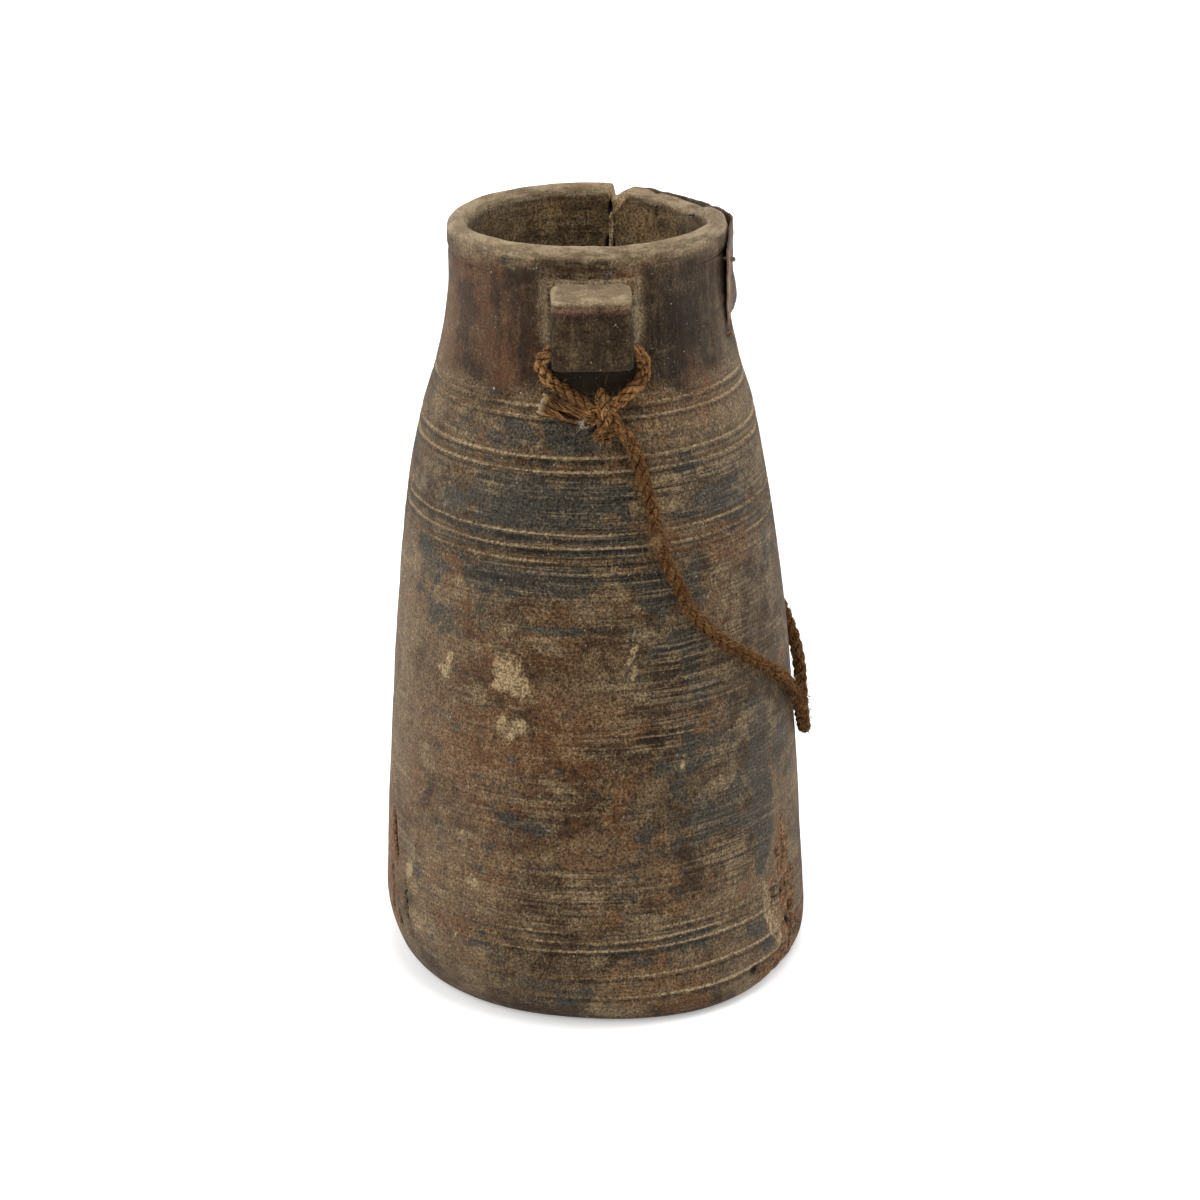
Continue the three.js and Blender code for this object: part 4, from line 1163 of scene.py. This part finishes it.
def wood_patterns():
    """A paint with the patterns that the layers of old wood share."""
    p = Paint("old_wood")
    p.blot = p.noise(75, 7, 0.68, warp=0.3)
    p.grit = p.noise(900, 5, 0.84)
    p.grain = p.noise(900, 4, 0.72, p.stretched(0.16))
    p.lines = p.noise(620, 4, 0.74, p.stretched(1, 0.022))
    p.patchy = p.noise(34, 5, 0.62, p.stretched(1.8))
    p.jitter = p.swing(p.blot, 2.4)
    p.frayed = p.swing(p.noise(330, 6, 0.78), 2.8)
    p.bristle = p.swing(p.noise(560, 5, 0.76, p.stretched(0.25)), 2.6)
    return p


def wood_ground(p):
    """Brown ground with rust-brown and pale clouds."""
    p.color = p.mix(p.span(p.noise(20, 6, 0.6), 0.43, 0.57), (0.042, 0.023, 0.011), (0.140, 0.089, 0.047))
    rust = p.times(p.mark("rust"), p.span(p.blot, 0.38, 0.50))
    rust = p.most(rust, p.span(p.noise(28, 6, 0.66), 0.54, 0.59, 0, 0.7))
    p.lay(p.times(rust, p.span(p.mark("lip"), 0.05, 0.45, 1.0, 0.1)), (0.150, 0.066, 0.026))
    pale = p.times(p.mark("pale"), p.span(p.blot, 0.40, 0.56))
    p.lay(p.most(pale, p.span(p.patchy, 0.55, 0.61, 0, 0.55)), (0.250, 0.178, 0.098))


def wood_stains(p):
    """The neck's wine-brown, streaked upright, and black patches with hard edges."""
    tone = p.mix(p.span(p.noise(30, 5, 0.6, p.stretched(0.25)), 0.49, 0.61),
                 (0.013, 0.007, 0.004), (0.096, 0.040, 0.017))
    streak = p.span(p.noise(240, 4, 0.7, p.stretched(0.10)), 0.52, 0.64, 0, 0.5)
    p.wine = p.times(p.mark("wine"), p.span(p.patchy, 0.64, 0.42, 0.78, 0.98))
    p.lay(p.wine, p.mix(streak, tone, (0.124, 0.078, 0.042)))
    char = p.span(p.plus("char", p.jitter, 1.0), 0.22, 0.40)
    p.char = p.most(char, p.span(p.noise(52, 7, 0.7, p.stretched(2.2)), 0.57, 0.63, 0, 0.75))
    tone = p.mix(p.mark("wine"), (0.050, 0.046, 0.037), (0.016, 0.010, 0.006))
    p.lay(p.times(p.char, p.span(p.mark("wine"), 0, 1, 0.93, 0.60)), tone)


def wood_hollow_and_lip(p):
    """The hollow's brown and ochre, and the pale dust on the lip."""
    tone = p.mix(p.span(p.noise(26, 5, 0.6), 0.42, 0.58), (0.060, 0.038, 0.018), (0.228, 0.142, 0.065))
    p.lay(p.mark("hollow"), p.mix(p.span(p.blot, 0.42, 0.60, 0, 0.5), tone, (0.250, 0.164, 0.079)))
    dust = p.span(p.plus("lip", p.jitter, 0.45), 0.25, 0.90)
    streak = p.span(p.noise(300, 4, 0.7, p.stretched(1, 0.25)), 0.42, 0.60)
    p.lay(p.times(dust, 0.85), p.mix(streak, (0.208, 0.148, 0.088), (0.415, 0.318, 0.196)))


def wood_breaks(p):
    """Cream patches, orange raw wood, the pale chip, and a painted highlight on the lugs' upper front edge.
    """
    cream = p.span(p.plus("cream", p.frayed, 0.75), 0.28, 0.60)
    p.lay(p.times(cream, 0.9), (0.375, 0.266, 0.140))
    tone = p.mix(p.span(p.grain, 0.42, 0.58), (0.055, 0.020, 0.007), (0.270, 0.116, 0.038))
    tone = p.mix(p.span(p.grit, 0.47, 0.38, 0, 0.8), tone, (0.020, 0.010, 0.005))
    p.lay(p.span(p.plus("raw", p.jitter, 0.7), 0.25, 0.6), tone)
    chip = p.span(p.plus("chip", p.frayed, 0.6), 0.35, 0.7)
    tone = p.mix(p.span(p.grain, 0.40, 0.60), (0.230, 0.142, 0.070), (0.500, 0.350, 0.200))
    p.lay(p.times(chip, 0.85), tone)
    # Painted highlight along the lugs' upper front edge.
    p.lay(p.times(p.mark("painted_highlight_ridge"), p.span(p.blot, 0.38, 0.52, 0, 0.6)), (0.270, 0.150, 0.098))


def wood_lines(p):
    """Dark and light turning marks, and fine ochre threads where the wood is neither black nor wine."""
    turned = p.math("ADD", p.mark("turned"), p.span(p.patchy, 0.46, 0.60, 0, 0.45))
    turned = p.times(turned, p.span(p.mark("wine"), 0.2, 0.8, 1.0, 0.15))
    p.lay(p.times(p.span(p.lines, 0.470, 0.440, 0, 0.90), turned), (0.014, 0.010, 0.008))
    p.lay(p.times(p.span(p.lines, 0.535, 0.580, 0, 0.62), turned), (0.290, 0.205, 0.115))
    bare = p.span(p.math("ADD", p.times(p.char, 0.62), p.times(p.wine, 0.75)), 0.0, 1.0, 1.0, 0.22)
    felt = p.most(p.threads(720, 0.040, p.stretched(0.5)), p.threads(980, 0.044))
    felt = p.times(felt, p.span(p.noise(110, 5, 0.7), 0.44, 0.60, 0.03, 0.46))
    p.lay(p.times(felt, bare), (0.360, 0.262, 0.146))


def wood_grooves(p):
    """Earth dust in the grooves, a pale line on their lower faces that is partly pale dust and partly
    a painted highlight, and painted shade just below them.
    """
    earth = p.span(p.plus("groove", p.bristle, 0.55), 0.25, 0.75, 0, 0.60)
    p.lay(p.times(earth, p.span(p.blot, 0.38, 0.54, 0.30, 1.0)), (0.158, 0.092, 0.043))
    # Pale line at the grooves' lower edges: partly pale dust, partly a painted highlight.
    p.lay(p.span(p.plus("groove", p.bristle, 0.20), 0.70, 0.90, 0, 0.85), (0.375, 0.285, 0.170))
    # Painted shade below the grooves and along the line under the lip.
    shadow = p.span(p.plus("shadow", p.bristle, 0.5), 0.35, 0.95)
    p.lay(p.times(shadow, 0.75), (0.014, 0.012, 0.010))


def wood_finest(p):
    """Fine grit and grain over all of it, calmer on the neck and lip, painted shade under the lugs,
    pale specks, and painted shade in the cracks and pits.
    """
    calm = p.most(p.times(p.wine, 0.42), p.times(p.mark("lip"), 0.75))
    fine = p.times(p.span(p.grit, 0.37, 0.63, 0.16, 1.84), p.span(p.grain, 0.38, 0.60, 0.84, 1.14))
    p.color = p.mix(1.0, p.color, p.mix(calm, fine, (1.0, 1.0, 1.0)), "MULTIPLY")
    # Painted shade under the lugs and on their undersides.
    p.lay(p.times(p.mark("painted_shade_under_lug"), 0.75), (0.050, 0.036, 0.024))
    p.lay(p.span(p.noise(760, 3, 0.6), 0.690, 0.725, 0, 0.85), (0.640, 0.590, 0.490))
    # Painted shade: the cracks and pits filled in near-black.
    p.lay(p.span(p.plus("crack", p.frayed, 0.30), 0.32, 0.70, 0, 0.97), (0.007, 0.005, 0.004))


WOOD_LAYERS = [
    wood_ground, wood_stains, wood_hollow_and_lip, wood_breaks, wood_lines, wood_grooves, wood_finest,
]


def old_wood():
    """Dark worn wood, laid on from the ground up, with a relief of turning marks, grain and grit."""
    p = wood_patterns()
    for layer in WOOD_LAYERS:
        layer(p)
    relief = p.bump(p.grain, 0.0005, 0.5, p.bump(p.lines, 0.0010, 0.5))
    return p.shade(
        p.span(p.grit, 0.35, 0.65, 0.42, 0.70), Normal=p.bump(p.grit, 0.0012, 0.9, relief),
        Specular_IOR_Level=0.05, Sheen_Weight=0.16, Sheen_Roughness=0.25, Sheen_Tint=(1.0, 0.88, 0.76))


def rope_fibre(name, tipped):
    """Brown plant fibre: threads along the lay in several browns, pale fibres that are partly a painted
    highlight, and painted shade between the strands.
    """
    p = Paint(name)
    lay = p.mark("lay", "Vector")
    thread = p.noise(1200, 5, 0.75, lay)
    height = p.node("SeparateXYZ", {"Vector": p.place}, "Z")
    p.color = p.mix(p.span(thread, 0.42, 0.58), (0.030, 0.012, 0.004), (0.455, 0.220, 0.078))
    p.lay(p.span(p.noise(520, 3, 0.6, lay), 0.50, 0.40, 0, 0.6), (0.028, 0.011, 0.004))
    # Pale fibres, partly a painted highlight.
    p.lay(p.span(p.noise(620, 5, 0.7), 0.54, 0.62, 0, 0.7), (0.570, 0.372, 0.182))
    p.lay(p.span(height, 0.286, 0.268, 0, 0.64), (0.040, 0.016, 0.005))
    p.lay(p.span(p.noise(70, 4, 0.6), 0.58, 0.44, 0, 0.45), (0.070, 0.028, 0.010))
    # Painted shade in the gaps between strands and on sunken yarns.
    p.lay(p.span(p.mark("deep"), 0.26, 0.86, 0, 0.92), (0.012, 0.005, 0.002))
    if tipped:
        p.lay(p.span(p.mark("tip"), 0.80, 1.0, 0, 0.8), (0.560, 0.430, 0.280))
    return p.shade(0.88, Normal=p.bump(thread, 0.0006, 0.9), Specular_IOR_Level=0.05)


def loose_fibre(name, scale, dark, light, roughness, **inputs):
    """Single fibres off the rope, in a blend of two colours."""
    p = Paint(name)
    p.color = p.mix(p.span(p.noise(scale, 3, 0.6), 0.4, 0.6), dark, light)
    return p.shade(roughness, **inputs)


def rusty_iron(name, dark):
    """Rusted iron: brown scale with orange bloom, and dull grey metal where it is rubbed."""
    p = Paint(name)
    bloom = p.noise(95, 7, 0.7, warp=0.4)
    scale = p.noise(620, 6, 0.75)
    p.color = p.mix(p.span(bloom, 0.40, 0.60), (0.060, 0.044, 0.034), (0.175, 0.085, 0.040))
    p.lay(p.span(p.noise(45, 6, 0.65), 0.45, 0.58, 0, 0.85), (0.115, 0.098, 0.084))
    p.lay(p.span(scale, 0.52, 0.40, 0, 0.8), (0.016, 0.011, 0.008))
    p.lay(p.span(scale, 0.56, 0.66, 0, 0.6), (0.260, 0.150, 0.075))
    if not dark:
        p.lay(p.times(p.mark("edge"), p.span(scale, 0.40, 0.60)), (0.090, 0.054, 0.036))
        p.lay(p.times(p.mark("free_edge"), p.span(scale, 0.36, 0.52)), (0.280, 0.138, 0.066))
        p.lay(p.times(p.mark("torn"), 0.8), (0.470, 0.360, 0.230))
    height = p.math("ADD", p.times(bloom, 0.5), p.times(scale, 0.5))
    return p.shade(
        p.span(scale, 0.3, 0.7, 0.50, 0.80), Normal=p.bump(height, 0.0010, 0.8),
        Metallic=p.span(bloom, 0.46, 0.38, 0.0, 0.35), Specular_IOR_Level=0.3)


FINISHES = {
    "old_wood": old_wood,
    "rope": lambda: rope_fibre("rope_fibre", False),
    "rope_tail": lambda: rope_fibre("rope_tail_fibre", True),
    "rope_hair": lambda: loose_fibre(
        "hair_fibre", 160, (0.100, 0.046, 0.017), (0.360, 0.215, 0.100), 0.8, Specular_IOR_Level=0.2),
    "bleached": lambda: loose_fibre(
        "bleached_fibre", 500, (0.330, 0.250, 0.165), (0.600, 0.540, 0.440), 0.85),
    "rusty_sheet": lambda: rusty_iron("rusty_sheet", False),
    "nail_iron": lambda: rusty_iron("nail_iron", True),
}


@functools.cache
def material(finish):
    """The material of a finish, made once."""
    return FINISHES[finish]()


# Stage and light
def make_stage():
    """A wide pale floor that bends up into a wall behind, swept from a quarter-round section. For the
    camera it glows a little, and more the further it lies from the pot."""
    turn = np.linspace(0, np.pi / 2, 13)
    bend = vectors(1.6 + 0.6 * np.sin(turn), 0.6 - 0.6 * np.cos(turn))
    section = np.vstack([[(-3, 0)], bend, [(2.2, 3)]])
    points = vectors(np.array([-4.0, 4.0]), section[:, :1], section[:, 1:]).reshape(-1, 3)
    row = np.arange(len(section) - 1) * 2
    mesh = bpy.data.meshes.new("studio_floor")
    mesh.from_pydata(points.tolist(), [], vectors(row, row + 1, row + 3, row + 2).tolist())
    mesh.polygons.foreach_set("use_smooth", np.ones(len(row), bool))
    floor = bpy.data.objects.new("studio_floor", mesh)
    bpy.context.scene.collection.objects.link(floor)
    p = Paint("studio_white")
    p.color = (0.9, 0.9, 0.9)
    far = p.node("VectorMath", {0: p.place}, "Value", operation="LENGTH")
    seen = p.node("LightPath", {}, "Is Camera Ray")
    glow = p.times(seen, p.span(far, 0.7, 1.8, 0.3, 0.9))
    mesh.materials.append(p.shade(0.9, Emission_Color=(1, 1, 1), Emission_Strength=glow))


# Square soft lamps: name, place, aim, size, power
LAMPS = [
    ("soft_front", (-1.1, -1.2, 1.5), (0, 0, 0.2), 1.3, 15.5),
    ("soft_top", (0.2, -0.2, 1.9), (0, 0, 0.2), 1.1, 21),
    ("soft_left", (-1.6, 0.5, 0.6), (0, 0, 0.15), 1.0, 11.5),
    ("soft_right", (1.6, 0.5, 0.6), (0, 0, 0.15), 1.0, 11.5),
]


def make_light():
    """A white room, seen in full by the camera and by gloss, and weaker as light, with soft lamps."""
    world = bpy.data.worlds.new("white_room")
    bpy.context.scene.world = world
    world.use_nodes = True
    nodes, links = world.node_tree.nodes, world.node_tree.links
    room = nodes["Background"]
    room.inputs["Color"].default_value = (1, 1, 1, 1)
    rays = nodes.new("ShaderNodeLightPath")
    seen = nodes.new("ShaderNodeMath")
    seen.operation = "MAXIMUM"
    strength = nodes.new("ShaderNodeMapRange")
    strength.inputs["To Min"].default_value = 0.5
    strength.inputs["To Max"].default_value = 1.0
    links.new(rays.outputs["Is Camera Ray"], seen.inputs[0])
    links.new(rays.outputs["Is Glossy Ray"], seen.inputs[1])
    links.new(seen.outputs["Value"], strength.inputs["Value"])
    links.new(strength.outputs["Result"], room.inputs["Strength"])
    for name, place, aim, size, power in LAMPS:
        data = bpy.data.lights.new(name, "AREA")
        data.size, data.energy = size, power
        lamp = bpy.data.objects.new(name, data)
        lamp.location = place
        lamp.rotation_euler = (Vector(aim) - Vector(place)).to_track_quat("-Z", "Y").to_euler()
        bpy.context.scene.collection.objects.link(lamp)
    bpy.context.scene.view_settings.view_transform = "Standard"


photo_camera()
make_ropes()
make_vessel()
make_lug("front_lug", FRONT, 140)
make_lug("rear_lug", REAR, 150)
make_sheet()
for order, nail in enumerate(NAILS):
    make_nail(*nail, 160 + order)
for order, nail in enumerate(CLENCHED):
    make_clenched(*nail, 170 + order)
make_stage()
make_light()
